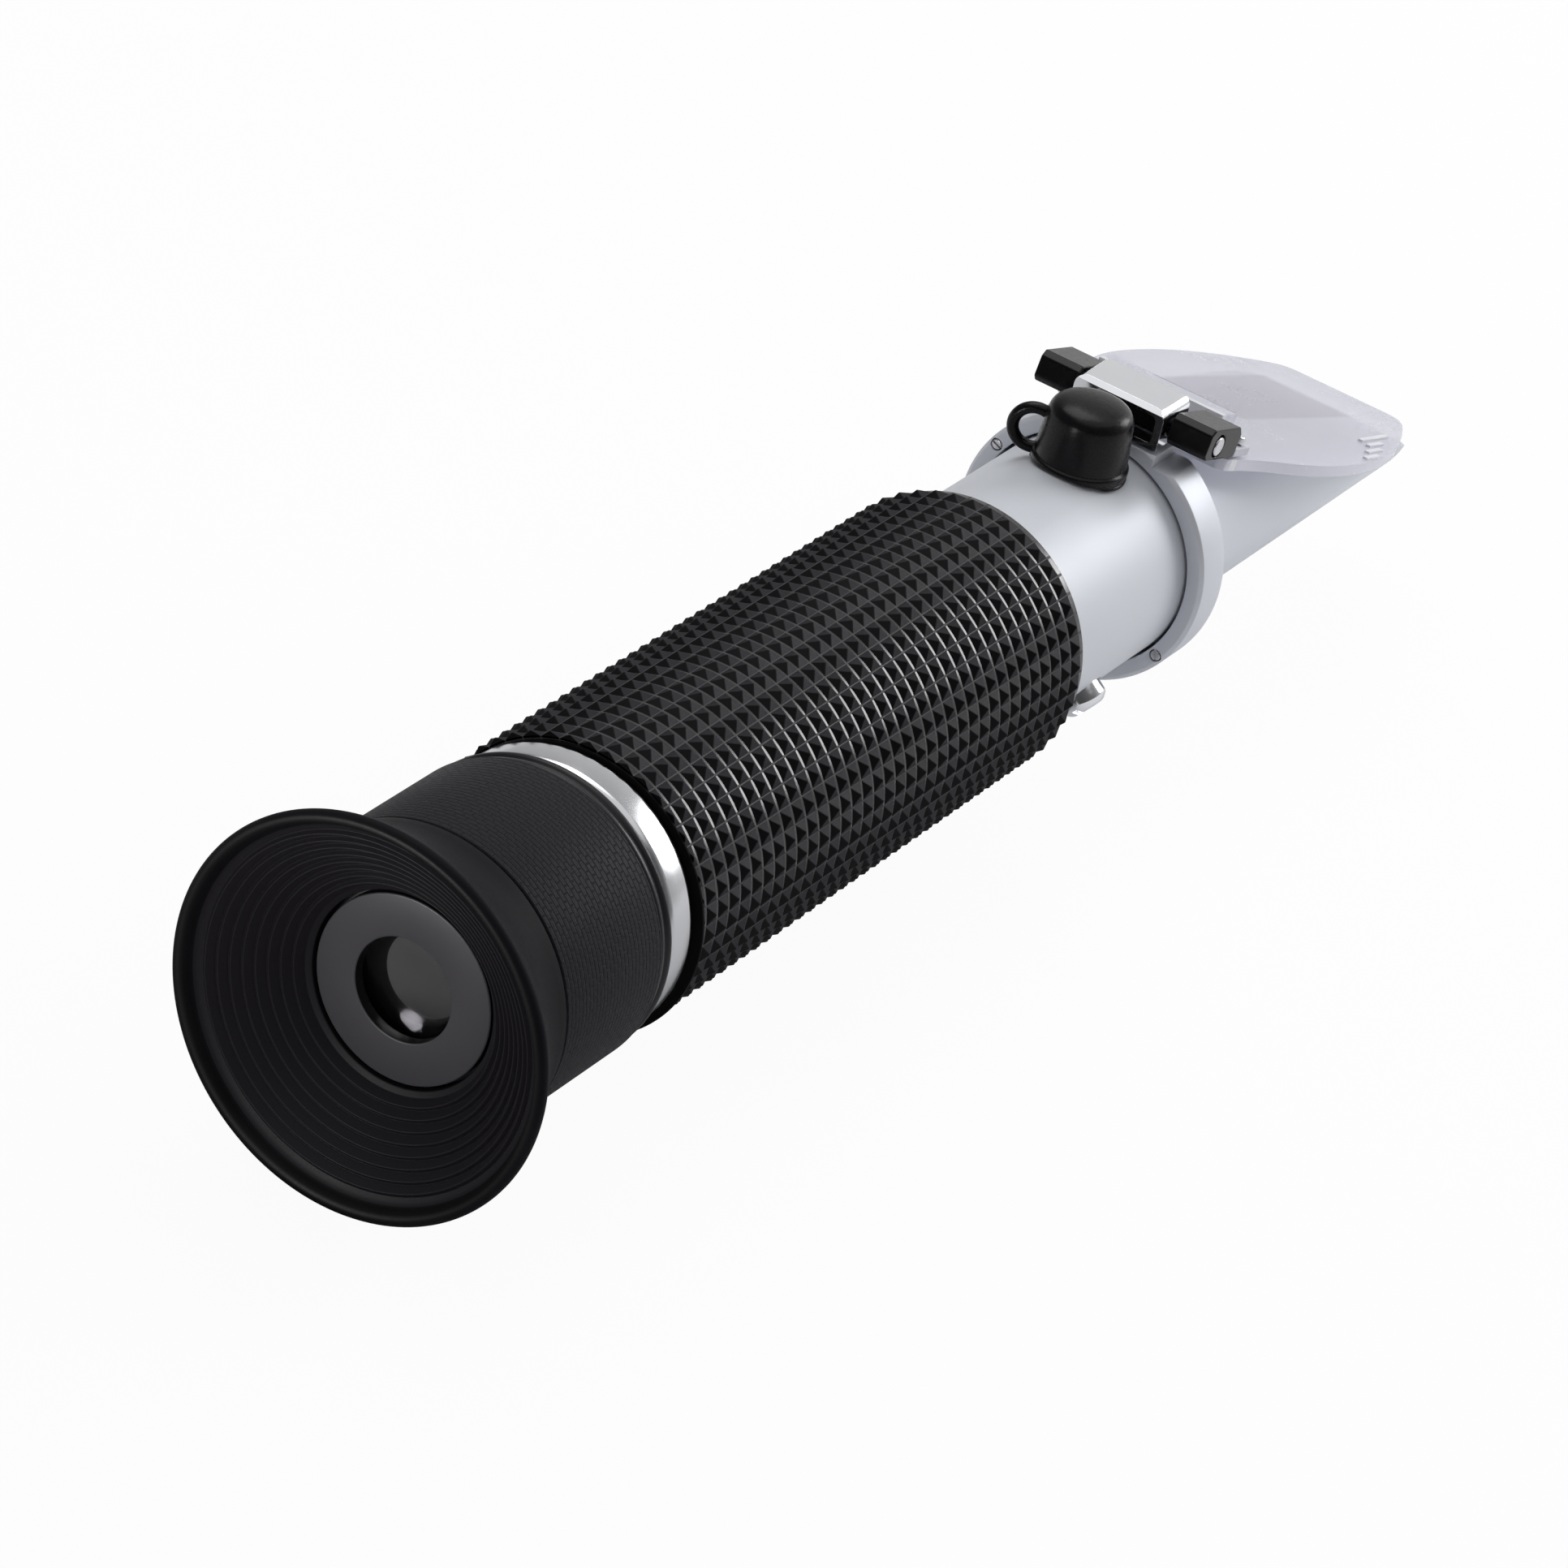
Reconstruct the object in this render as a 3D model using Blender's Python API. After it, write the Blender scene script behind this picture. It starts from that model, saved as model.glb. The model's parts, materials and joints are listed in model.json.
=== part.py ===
"""Hand-held alcohol refractometer: eyepiece, tube, prism housing and hinged daylight plate.

The optical axis runs along +Y from the eyecup to the prism, +Z is up through the calibration
cap, and +X is to the right as seen from the eyepiece. Lengths are in metres.
"""
import math

import bmesh
import bpy
from mathutils import Matrix, Vector

mm = 0.001
gap = 0.3 * mm
tiny = 1e-7
smooth_angle = math.radians(35)

# Counts of steps in a full turn
outer_step_count = 56
inner_step_count = 26
small_step_count = 16

# Radii of the main tube, which most other pieces sit on or in
tube_outer = 10.9 * mm
tube_wall = 1.2 * mm
tube_inner = tube_outer - tube_wall

# Radii of the sleeve cover, the focus sleeve under it and the eyecup's tail
cover_outer = 13.5 * mm
cover_thickness = 0.5 * mm
cover_inner = cover_outer - cover_thickness
cover_edge = 0.15 * mm
sleeve_seat_radius = cover_inner - gap
sleeve_lip_radius = 13.3 * mm
sleeve_lip_width = 1.75 * mm
sleeve_lip_round = 0.45 * mm
eyecup_tail_outer = sleeve_seat_radius
eyecup_tail_wall = 0.6 * mm
eyecup_tail_inner = eyecup_tail_outer - eyecup_tail_wall
sleeve_nose_radius = eyecup_tail_inner - gap

# Stations along the axis are measured from a plane just inside the rim of the eyecup
rim_station = -0.4 * mm
rim_radius = 17.7 * mm
neck_rise = 0.1 * mm
neck_radius = cover_outer + neck_rise
neck_depth = 9.9 * mm
neck_station = rim_station + neck_depth
cup_depth = 6.9 * mm
eyecup_floor = 1.3 * mm
eyecup_bottom_station = rim_station + cup_depth
eyecup_back_station = eyecup_bottom_station + eyecup_floor
eyecup_tail_length = 5.5 * mm
eyecup_tail_station = neck_station + eyecup_tail_length

# Eyecup wall from the neck to the lip and back inside, as shares of the way from neck to rim
# and from rim to neck station
flare_shares = [(0.07, 0.8), (0.24, 0.585), (0.51, 0.385), (0.83, 0.2), (0.975, 0.11), (1.0, 0.06),
                (0.95, 0.015)]
lip_shares = [(0.865, 0.0), (0.77, 0.012), (0.705, 0.05), (0.635, 0.13)]

# Lens retainer, the disc with a hole in the bottom of the eyecup
retainer_hole = 4.57 * mm
retainer_radius = 8.3 * mm
retainer_sink = 0.1 * mm
retainer_start = eyecup_bottom_station + retainer_sink
retainer_back = eyecup_back_station
retainer_round = 0.15 * mm
eyecup_hole_radius = retainer_radius + gap

# Ribs inside the eyecup
rib_count = 9
rib_margin = 2.1 * mm
rib_depth = 1.75 * mm
rib_ledge = 0.5 * mm
rib_first_radius = rim_radius - rib_margin
rib_last_radius = eyecup_hole_radius + rib_ledge
rib_first_station = rim_station + rib_depth
rib_last_station = eyecup_bottom_station - gap
rib_height = 0.34 * mm
rib_rise_share = 0.42

# Focus sleeve and its textured cover along the axis
sleeve_back_station = eyecup_back_station + gap
sleeve_length = 17.95 * mm
sleeve_front_station = sleeve_back_station + sleeve_length
sleeve_web = 5.1 * mm
sleeve_web_end = sleeve_back_station + sleeve_web
sleeve_lip_start = sleeve_front_station - sleeve_lip_width
cover_start = neck_station + gap
cover_end = sleeve_lip_start - gap

# Lens cell with its lenses and rings
lens_radius = 7.9 * mm
lens_rings = 3
ring_wall = 1.0 * mm
ring_inner = lens_radius - ring_wall
cell_inner = lens_radius + gap
cell_outer = tube_inner - gap
cell_start = sleeve_back_station
cell_length = 29.9 * mm
cell_end = cell_start + cell_length
eye_lens_depth = 1.8 * mm
eye_lens_rim = 1.1 * mm
eye_lens_rim_start = cell_start + eye_lens_depth
eye_lens_rim_end = eye_lens_rim_start + eye_lens_rim
eye_lens_front_sag = 1.75 * mm
eye_lens_back_sag = 1.3 * mm
retainer_barrel_end = eye_lens_rim_start - 2 * gap
spacer_start = eye_lens_rim_end + 3 * gap
spacer_length = 5.9 * mm
spacer_end = spacer_start + spacer_length
field_lens_rim = 1.2 * mm
field_lens_rim_start = spacer_end + 3 * gap
field_lens_rim_end = field_lens_rim_start + field_lens_rim
field_lens_front_sag = 0.5 * mm
field_lens_back_sag = 1.3 * mm
field_ring_start = field_lens_rim_end + 3 * gap
field_ring_length = 2.2 * mm
field_ring_end = field_ring_start + field_ring_length

# Main tube along the axis, with the collar and the grip on it
focus_clearance = 2.8 * mm
tube_start = sleeve_web_end + focus_clearance
collar_start = sleeve_front_station + gap
collar_length = 3.95 * mm
collar_end = collar_start + collar_length
collar_radius = 12.75 * mm
collar_edge = 0.6 * mm
collar_edge_drop = 0.45 * mm
grip_start = collar_end + gap
grip_length = 64.9 * mm
grip_end = grip_start + grip_length
grip_band_width = 0.9 * mm
grip_band_radius = 13.4 * mm
grip_radius = 13.15 * mm
grip_far_width = 0.8 * mm
grip_far_radius = 12.75 * mm
grip_round = 0.3 * mm
tube_bare = 25.2 * mm
tube_end = grip_end + tube_bare

# Reticle with its holder and lock ring
holder_distance = 44.0 * mm
holder_start = tube_start + holder_distance
holder_length = 6.0 * mm
holder_end = holder_start + holder_length
holder_hole = 7.2 * mm
holder_floor = 1.6 * mm
holder_seat_start = holder_start + holder_floor
reticle_radius = 8.4 * mm
reticle_thickness = 1.2 * mm
holder_seat_radius = reticle_radius + gap
lock_ring_inner = 7.4 * mm
lock_ring_length = 1.9 * mm

# Objective carrier, lens and ring; the carrier shifts up and down by the zero travel
zero_travel = 0.3 * mm
carrier_play = 0.5 * mm
carrier_outer = tube_inner - zero_travel - carrier_play
carrier_setback = 13.4 * mm
carrier_start = tube_end - carrier_setback
carrier_length = 8.7 * mm
carrier_end = carrier_start + carrier_length
carrier_hole = 5.9 * mm
carrier_floor = 1.7 * mm
carrier_seat_start = carrier_start + carrier_floor
objective_radius = 7.3 * mm
carrier_seat_radius = objective_radius + gap
objective_depth = 1.4 * mm
objective_rim = 1.2 * mm
objective_rim_start = carrier_seat_start + objective_depth
objective_rim_end = objective_rim_start + objective_rim
objective_front_sag = 0.9 * mm
objective_back_sag = 0.9 * mm
objective_ring_inner = 6.2 * mm
objective_ring_length = 2.1 * mm
objective_ring_start = objective_rim_end + 3 * gap
objective_ring_end = objective_ring_start + objective_ring_length

# Temperature compensation: a bimetal strip clamped to a block on the floor of the tube
block_distance = 10.0 * mm
block_length = 8.0 * mm
block_half_width = 2.8 * mm
block_start = holder_end + block_distance
block_end = block_start + block_length
block_bottom = gap - math.sqrt(tube_inner ** 2 - block_half_width ** 2)
strip_setback = 1.5 * mm
strip_clearance = 0.7 * mm
strip_half_width = 2.4 * mm
strip_start = block_start + strip_setback
strip_end = carrier_start - strip_clearance
strip_rise = 2.1 * mm
strip_bottom = block_bottom + strip_rise
strip_thickness = 0.6 * mm
clamp_station = (block_start + block_end) / 2
clamp_head_radius = 1.5 * mm
clamp_head_height = 1.0 * mm
clamp_shank_radius = 0.7 * mm
clamp_depth = 1.6 * mm

# Flange of the prism housing, seated on the end of the tube
tube_seat_depth = 3.1 * mm
flange_start = tube_end - tube_seat_depth
flange_width = 4.5 * mm
flange_end = flange_start + flange_width
flange_radius = 12.8 * mm
flange_chamfer = 0.35 * mm
flange_bore = tube_outer + gap
flange_bore_end = tube_end + gap
bracket_seat_wall = 0.7 * mm
bracket_seat = flange_bore + bracket_seat_wall

# Flange screws, midway between the bore and the outside of the flange
flange_screw_circle = (flange_bore + flange_radius) / 2
flange_screw_radius = 0.5 * mm
flange_screw_clearance = 0.12 * mm
flange_screw_pocket = flange_screw_radius + flange_screw_clearance
flange_screw_length = 1.1 * mm
flange_screw_depth = flange_screw_length + gap
flange_screw_angles = [150, -33]

# Hinge pin, which is the zero of the plate's own frame
pin_setback = 0.8 * mm
pin_rise = 1.8 * mm
pin_station = flange_end - pin_setback
pin_height = bracket_seat + pin_rise
pin_radius = 0.9 * mm

# Daylight plate, in the frame of its slope: distance down the slope from the pin, level above it
plate_slope = math.radians(16)
plate_near = 3.5 * mm
plate_length = 53.0 * mm
plate_half_width = 13.1 * mm
plate_top = -1.65 * mm
plate_thickness = 1.1 * mm
plate_bottom = plate_top - plate_thickness
plate_edge = 0.3 * mm
plate_tip_rise = (plate_top - plate_edge) * math.sin(plate_slope)
plate_tip = pin_station + plate_length * math.cos(plate_slope) + plate_tip_rise

# Outline of the plate, as shares of its half width and of the way from its near edge to its tip
plate_shares = [(0.626, 0.0), (0.68, 0.014), (0.733, 0.11), (0.8, 0.172), (0.9, 0.252), (0.977, 0.353),
                (1.0, 0.455), (0.977, 0.566), (0.924, 0.677), (0.8, 0.808), (0.634, 0.925), (0.527, 0.984),
                (0.443, 0.998), (0.366, 1.0)]

# Hinge arms and their tongues over the plate, in the frame of the slope
arm_inner = 5.0 * mm
arm_width = 4.1 * mm
arm_outer = arm_inner + arm_width
arm_back = -2.4 * mm
arm_front = 4.6 * mm
arm_low = plate_top + gap
arm_high = 1.65 * mm
arm_bevel = 0.5 * mm
arm_relief = pin_height - math.hypot(arm_back, arm_low) - gap / 2
tongue_step = 0.5 * mm
tongue_inner = arm_inner + tongue_step
tongue_reach = 3.4 * mm
tongue_end = arm_front + tongue_reach
tongue_thickness = 0.8 * mm
pin_stand = 0.1 * mm
pin_half_length = arm_outer + pin_stand

# Hinge bracket on the flange and the insert in its window
bracket_half_width = arm_inner - gap
bracket_front = 0.8 * mm
bracket_start = flange_start + gap
bracket_end = flange_end + bracket_front
bracket_rise = 2.5 * mm
bracket_top = pin_height + bracket_rise
bracket_bottom = bracket_seat + gap
bracket_wall = 0.9 * mm
bracket_floor = 0.6 * mm
bracket_bevel = 0.45 * mm
insert_length = 2.8 * mm
insert_sink = 0.2 * mm
insert_end = bracket_end - insert_sink
insert_start = insert_end - insert_length

# Ledge across the near end of the plate, as high as the arms, and the screws through tongue and plate
ledge_setback = 1.5 * mm
ledge_near = plate_near + ledge_setback
ledge_width = 3.5 * mm
ledge_far = ledge_near + ledge_width
ledge_half_length = tongue_inner - 2 * gap
ledge_root = plate_top - plate_thickness / 2
ledge_bevel = 0.3 * mm
plate_screw_inset = 1.2 * mm
plate_screw_offset = arm_outer - plate_screw_inset
plate_screw_setback = 1.4 * mm
plate_screw_distance = tongue_end - plate_screw_setback
plate_screw_head = 0.95 * mm
plate_screw_head_height = 0.6 * mm
plate_screw_shank = 0.45 * mm
plate_screw_end = plate_bottom + gap / 3

# Body of the prism housing, a cylinder cut on the slope just under the plate
housing_radius = 9.4 * mm
housing_setback = 2.7 * mm
housing_end = plate_tip - housing_setback
housing_round = 1.2 * mm
face_level = plate_bottom - gap
face_cut_start = flange_end + gap
cutter_reach = 30.0 * mm

# Measuring prism and the seal around it, in the frame of the sloping face
prism_near = 17.0 * mm
prism_far = 42.0 * mm
prism_half_width = 5.2 * mm
prism_floor = -5.6 * mm
prism_toe = 3.0 * mm
prism_edge = 0.2 * mm
seal_width = 0.7 * mm
seal_depth = 1.0 * mm
seal_recess = seal_depth + 2 * gap

# Way of the light from the tube to the prism
light_bore = 7.0 * mm
light_bore_depth = 3.9 * mm
light_bore_end = flange_end + light_bore_depth
light_slot = 4.2 * mm
light_overlap = 0.7 * mm
prism_near_station = pin_station + prism_near * math.cos(plate_slope) + face_level * math.sin(plate_slope)
light_slot_end = prism_near_station + light_overlap

# Rubber cap over the zero screw, its outline as shares of its radius and its height
cap_radius = 4.5 * mm
cap_clearance = 0.5 * mm
cap_station = flange_start - cap_radius - cap_clearance
cap_skirt = 1.5 * mm
cap_bottom = tube_outer - cap_skirt
cap_height = 7.95 * mm
cap_top = cap_bottom + cap_height
cap_shares = [(1.0, 0.0), (1.0, 0.24), (0.967, 0.277), (0.944, 0.29), (0.922, 0.516), (0.889, 0.755),
              (0.844, 0.855), (0.733, 0.93), (0.489, 0.98), (0.0, 1.0)]
cap_wall = 0.9 * mm
cap_crown = 1.75 * mm
cap_inner_radius = cap_radius - cap_wall
cap_inner_top = cap_top - cap_crown
cap_saddle_radius = tube_outer + gap
loop_stand = 0.2 * mm
loop_centre_offset = -cap_radius - loop_stand
loop_rise = 3.6 * mm
loop_centre_height = cap_bottom + loop_rise
loop_turn = math.radians(20)
loop_radius = 1.95 * mm
loop_thickness = 0.56 * mm
loop_section_count = 10
loop_step_count = 24

# Calibration bush under the cap, and the screw in it, which ends above the objective carrier
bush_radius = cap_inner_radius - gap
bush_sink = 0.25 * mm
bush_bottom = tube_inner + bush_sink
bush_rise = 2.3 * mm
bush_top = tube_outer + bush_rise
bush_edge = 0.25 * mm
screw_radius = 1.6 * mm
bush_bore = screw_radius + gap
screw_sink = 0.4 * mm
screw_bottom = carrier_outer + zero_travel + gap / 2
screw_top = bush_top - screw_sink
screw_slot_width = 0.6 * mm
screw_slot_depth = 0.8 * mm

# Side plug low on the tube
plug_setback = 11.6 * mm
plug_station = flange_start - plug_setback
plug_angle = math.radians(-38)
plug_radius = 2.2 * mm
plug_bottom = tube_inner + gap
plug_shoulder_rise = 1.0 * mm
plug_shoulder = tube_outer + plug_shoulder_rise
plug_crown = 0.65 * mm
plug_top = plug_shoulder + plug_crown
plug_crown_inset = 0.7 * mm
plug_crown_radius = plug_radius - plug_crown_inset
plug_slot_width = 0.6 * mm
plug_slot_depth = 0.5 * mm

total_length = plate_tip - rim_station
frame_shift = Vector((0, -total_length / 2 - rim_station, rim_radius))


def finish_object(name, bm, origin, flat=False):
    """Make a named object whose origin lies at the given point of the axis frame."""
    bmesh.ops.remove_doubles(bm, verts=bm.verts, dist=tiny)
    bmesh.ops.recalc_face_normals(bm, faces=bm.faces)
    bmesh.ops.translate(bm, vec=-Vector(origin), verts=bm.verts)
    mesh = bpy.data.meshes.new(name)
    bm.to_mesh(mesh)
    bm.free()
    if not flat:
        mesh.shade_smooth()
        mesh.set_sharp_from_angle(angle=smooth_angle)
    obj = bpy.data.objects.new(name, mesh)
    obj.location = Vector(origin) + frame_shift
    bpy.context.collection.objects.link(obj)
    return obj


def turned(outline, steps, along="Y", closed=True):
    """Turn an outline of (radius, distance) points about the Y or the Z axis."""
    bm = bmesh.new()
    if along == "Y":
        verts = [bm.verts.new((r, s, 0)) for r, s in outline]
        axis = (0, 1, 0)
    else:
        verts = [bm.verts.new((r, 0, s)) for r, s in outline]
        axis = (0, 0, 1)
    edges = [bm.edges.new(pair) for pair in zip(verts, verts[1:])]
    if closed:
        edges.append(bm.edges.new((verts[-1], verts[0])))
    bmesh.ops.spin(bm, geom=verts + edges, cent=(0, 0, 0), axis=axis, angle=math.tau, steps=steps,
                   use_merge=True)
    bmesh.ops.remove_doubles(bm, verts=bm.verts, dist=tiny)
    return bm


def ring_outline(inner, outer, start, end):
    return [(inner, start), (outer, start), (outer, end), (inner, end)]


def block_mesh(x_span, s_span, h_span, bevel=0.0):
    bm = bmesh.new()
    bmesh.ops.create_cube(bm, size=1)
    size = [span[1] - span[0] for span in (x_span, s_span, h_span)]
    middle = [(span[1] + span[0]) / 2 for span in (x_span, s_span, h_span)]
    bmesh.ops.scale(bm, vec=size, verts=bm.verts)
    bmesh.ops.translate(bm, vec=middle, verts=bm.verts)
    if bevel > 0:
        bmesh.ops.bevel(bm, geom=bm.edges[:], offset=bevel, offset_type="OFFSET", segments=1, profile=0.5,
                        affect="EDGES")
    return bm


def extrude(bm, faces, way):
    moved = bmesh.ops.extrude_face_region(bm, geom=faces)["geom"]
    bmesh.ops.translate(bm, vec=way, verts=[v for v in moved if isinstance(v, bmesh.types.BMVert)])


def slab_mesh(side_points, half_width, bevel=0.0):
    """Extrude a side outline of (station, height) points to both sides of the middle plane."""
    bm = bmesh.new()
    face = bm.faces.new([bm.verts.new((-half_width, s, h)) for s, h in side_points])
    extrude(bm, [face], (2 * half_width, 0, 0))
    if bevel > 0:
        bmesh.ops.bevel(bm, geom=bm.edges[:], offset=bevel, offset_type="OFFSET", segments=1, profile=0.5,
                        affect="EDGES")
    return bm


def slope_matrix():
    """Frame of the plate: x across, y down the slope, z out of the plate, zero on the pin."""
    c = math.cos(plate_slope)
    s = math.sin(plate_slope)
    return Matrix(((1, 0, 0, 0), (0, c, s, pin_station), (0, -s, c, pin_height), (0, 0, 0, 1)))


def on_slope(distance, level):
    point = slope_matrix() @ Vector((0, distance, level))
    return point.y, point.z


def moved_mesh(bm, matrix):
    bmesh.ops.transform(bm, matrix=matrix, verts=bm.verts)
    return bm


def as_cutter(name, bm):
    obj = finish_object(name, bm, (0, 0, 0), flat=True)
    obj.hide_render = True
    obj.display_type = "WIRE"
    return obj


def boolean(obj, tool, operation="DIFFERENCE"):
    modifier = obj.modifiers.new(tool.name, "BOOLEAN")
    modifier.operation = operation
    modifier.solver = "EXACT"
    modifier.object = tool


def material(obj, colour, metallic, roughness, alpha=1.0, transmission=0.0):
    mat = bpy.data.materials.new(obj.name + "_finish")
    mat.use_nodes = True
    shader = mat.node_tree.nodes["Principled BSDF"]
    shader.inputs["Base Color"].default_value = (*colour, 1)
    shader.inputs["Metallic"].default_value = metallic
    shader.inputs["Roughness"].default_value = roughness
    shader.inputs["Alpha"].default_value = alpha
    shader.inputs["Transmission Weight"].default_value = transmission
    mat.diffuse_color = (*colour, 1)
    obj.data.materials.append(mat)
    return obj


def black_rubber(obj):
    return material(obj, (0.022, 0.021, 0.024), 0.0, 0.55)


def black_plastic(obj):
    return material(obj, (0.018, 0.018, 0.02), 0.0, 0.3)


def black_metal(obj):
    return material(obj, (0.03, 0.03, 0.032), 0.8, 0.45)


def satin_silver(obj):
    return material(obj, (0.72, 0.73, 0.76), 0.9, 0.32)


def chrome(obj):
    return material(obj, (0.86, 0.87, 0.88), 1.0, 0.08)


def steel(obj):
    return material(obj, (0.6, 0.6, 0.62), 1.0, 0.28)


def brass(obj):
    return material(obj, (0.75, 0.55, 0.25), 1.0, 0.3)


def clear_glass(obj):
    return material(obj, (0.9, 0.95, 0.95), 0.0, 0.03, transmission=1.0)


def cap_arc(rim, sag, station, direction, rings):
    """Points of a spherical lens face from its rim to the axis."""
    curve = (rim * rim + sag * sag) / (2 * sag)
    points = []
    for index in range(1, rings + 1):
        r = rim * (1 - index / rings)
        rise = math.sqrt(curve * curve - r * r) - (curve - sag)
        points.append((r, station + direction * rise))
    return points


def lens(name, radius, rim_start, rim_end, front_sag, back_sag):
    front = cap_arc(radius, front_sag, rim_start, -1, lens_rings)
    back = cap_arc(radius, back_sag, rim_end, 1, lens_rings)
    outline = list(reversed(front)) + [(radius, rim_start), (radius, rim_end)] + back
    bm = turned(outline, inner_step_count, closed=False)
    return clear_glass(finish_object(name, bm, (0, (rim_start + rim_end) / 2, 0)))


def tube_ring(name, inner, outer, start, end, finish, steps=inner_step_count):
    bm = turned(ring_outline(inner, outer, start, end), steps)
    return finish(finish_object(name, bm, (0, (start + end) / 2, 0)))


def cup_point(radius_share, depth_share):
    r = neck_radius + (rim_radius - neck_radius) * radius_share
    return r, rim_station + (neck_station - rim_station) * depth_share


def make_eyecup():
    ribs = []
    for index in range(rib_count):
        share = index / (rib_count - 1)
        r = rib_first_radius + (rib_last_radius - rib_first_radius) * share
        s = rib_first_station + (rib_last_station - rib_first_station) * share
        pitch = (rib_first_radius - rib_last_radius) / (rib_count - 1)
        ribs.append((r, s))
        ribs.append((r - pitch * rib_rise_share, s - rib_height))
    wall = [cup_point(*shares) for shares in flare_shares + lip_shares]
    outline = [(neck_radius, neck_station)] + wall + ribs[:-1]
    outline += [(eyecup_hole_radius, eyecup_bottom_station), (eyecup_hole_radius, eyecup_back_station),
                (eyecup_tail_inner, eyecup_back_station), (eyecup_tail_inner, eyecup_tail_station),
                (eyecup_tail_outer, eyecup_tail_station), (eyecup_tail_outer, neck_station)]
    return black_rubber(finish_object("eyecup", turned(outline, outer_step_count), (0, neck_station, 0)))


def make_focus_sleeve():
    lip_low = sleeve_lip_radius - sleeve_lip_round
    shoulder = eyecup_tail_station + gap
    outline = [(cell_outer + gap, sleeve_back_station), (sleeve_nose_radius, sleeve_back_station),
               (sleeve_nose_radius, shoulder), (sleeve_seat_radius, shoulder),
               (sleeve_seat_radius, sleeve_lip_start), (lip_low, sleeve_lip_start),
               (sleeve_lip_radius, sleeve_lip_start + sleeve_lip_round),
               (sleeve_lip_radius, sleeve_front_station - sleeve_lip_round),
               (lip_low, sleeve_front_station), (tube_outer + gap, sleeve_front_station),
               (tube_outer + gap, sleeve_web_end), (cell_outer + gap, sleeve_web_end)]
    bm = turned(outline, outer_step_count)
    return black_plastic(finish_object("focus_sleeve", bm, (0, neck_station, 0)))


def make_sleeve_cover():
    outline = [(cover_inner, cover_start), (cover_outer - cover_edge, cover_start),
               (cover_outer, cover_start + cover_edge), (cover_outer, cover_end - cover_edge),
               (cover_outer - cover_edge, cover_end), (cover_inner, cover_end)]
    bm = turned(outline, outer_step_count)
    return black_rubber(finish_object("sleeve_cover", bm, (0, neck_station, 0)))


def make_lens_group():
    tube_ring("lens_cell", cell_inner, cell_outer, cell_start, cell_end, black_metal)
    edge = retainer_start + retainer_round
    outline = [(retainer_hole, edge), (retainer_hole + retainer_round, retainer_start),
               (retainer_radius - retainer_round, retainer_start), (retainer_radius, edge),
               (retainer_radius, retainer_back), (lens_radius, retainer_back),
               (lens_radius, retainer_barrel_end), (ring_inner, retainer_barrel_end),
               (ring_inner, retainer_back), (retainer_hole, retainer_back)]
    bm = turned(outline, inner_step_count)
    black_plastic(finish_object("lens_retainer", bm, (0, retainer_start, 0)))
    lens("eye_lens", lens_radius, eye_lens_rim_start, eye_lens_rim_end, eye_lens_front_sag,
         eye_lens_back_sag)
    tube_ring("lens_spacer", ring_inner, lens_radius, spacer_start, spacer_end, black_metal)
    lens("field_lens", lens_radius, field_lens_rim_start, field_lens_rim_end, field_lens_front_sag,
         field_lens_back_sag)
    tube_ring("field_lens_ring", ring_inner, lens_radius, field_ring_start, field_ring_end, black_metal)


def round_cutter(name, radius, start, end, matrix, steps=small_step_count):
    bm = turned([(0, start), (radius, start), (radius, end), (0, end)], steps, along="Z", closed=False)
    return as_cutter(name, moved_mesh(bm, matrix))


def plug_matrix():
    """Frame of the side plug: z points out of the tube along the plug's axis."""
    turn = Matrix.Rotation(math.pi / 2 - plug_angle, 4, "Y")
    return Matrix.Translation((0, plug_station, 0)) @ turn


def make_main_tube():
    tube = tube_ring("main_tube", tube_inner, tube_outer, tube_start, tube_end, satin_silver,
                     outer_step_count)
    upright = Matrix.Translation((0, cap_station, 0))
    holes = (("bush_hole", bush_radius, upright), ("plug_hole", plug_radius, plug_matrix()))
    for name, radius, place in holes:
        boolean(tube, round_cutter(name, radius + gap, 0, cutter_reach, place, inner_step_count))


def make_collar():
    edge_radius = collar_radius - collar_edge_drop
    outline = [(tube_outer + gap, collar_start), (edge_radius, collar_start),
               (collar_radius, collar_start + collar_edge), (collar_radius, collar_end - collar_edge),
               (edge_radius, collar_end), (tube_outer + gap, collar_end)]
    return chrome(finish_object("chrome_collar", turned(outline, outer_step_count), (0, collar_start, 0)))


def make_grip():
    band_end = grip_start + grip_band_width
    far_start = grip_end - grip_far_width
    outline = [(tube_outer + gap, grip_start), (grip_band_radius - grip_round, grip_start),
               (grip_band_radius, grip_start + grip_round), (grip_band_radius, band_end - grip_round),
               (grip_radius, band_end), (grip_radius, far_start), (grip_far_radius, far_start + grip_round),
               (grip_far_radius, grip_end), (tube_outer + gap, grip_end)]
    return black_rubber(finish_object("grip_sleeve", turned(outline, outer_step_count), (0, grip_start, 0)))


def make_reticle():
    outline = [(holder_hole, holder_start), (cell_outer, holder_start), (cell_outer, holder_end),
               (holder_seat_radius, holder_end), (holder_seat_radius, holder_seat_start),
               (holder_hole, holder_seat_start)]
    black_metal(finish_object("reticle_holder", turned(outline, inner_step_count), (0, holder_start, 0)))
    disc_start = holder_seat_start + gap
    disc_end = disc_start + reticle_thickness
    bm = turned([(0, disc_start), (reticle_radius, disc_start), (reticle_radius, disc_end), (0, disc_end)],
                inner_step_count, closed=False)
    clear_glass(finish_object("reticle_disc", bm, (0, disc_start, 0)))
    ring_start = disc_end + gap
    ring_end = ring_start + lock_ring_length
    tube_ring("reticle_lock_ring", lock_ring_inner, reticle_radius, ring_start, ring_end, black_metal)


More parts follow.
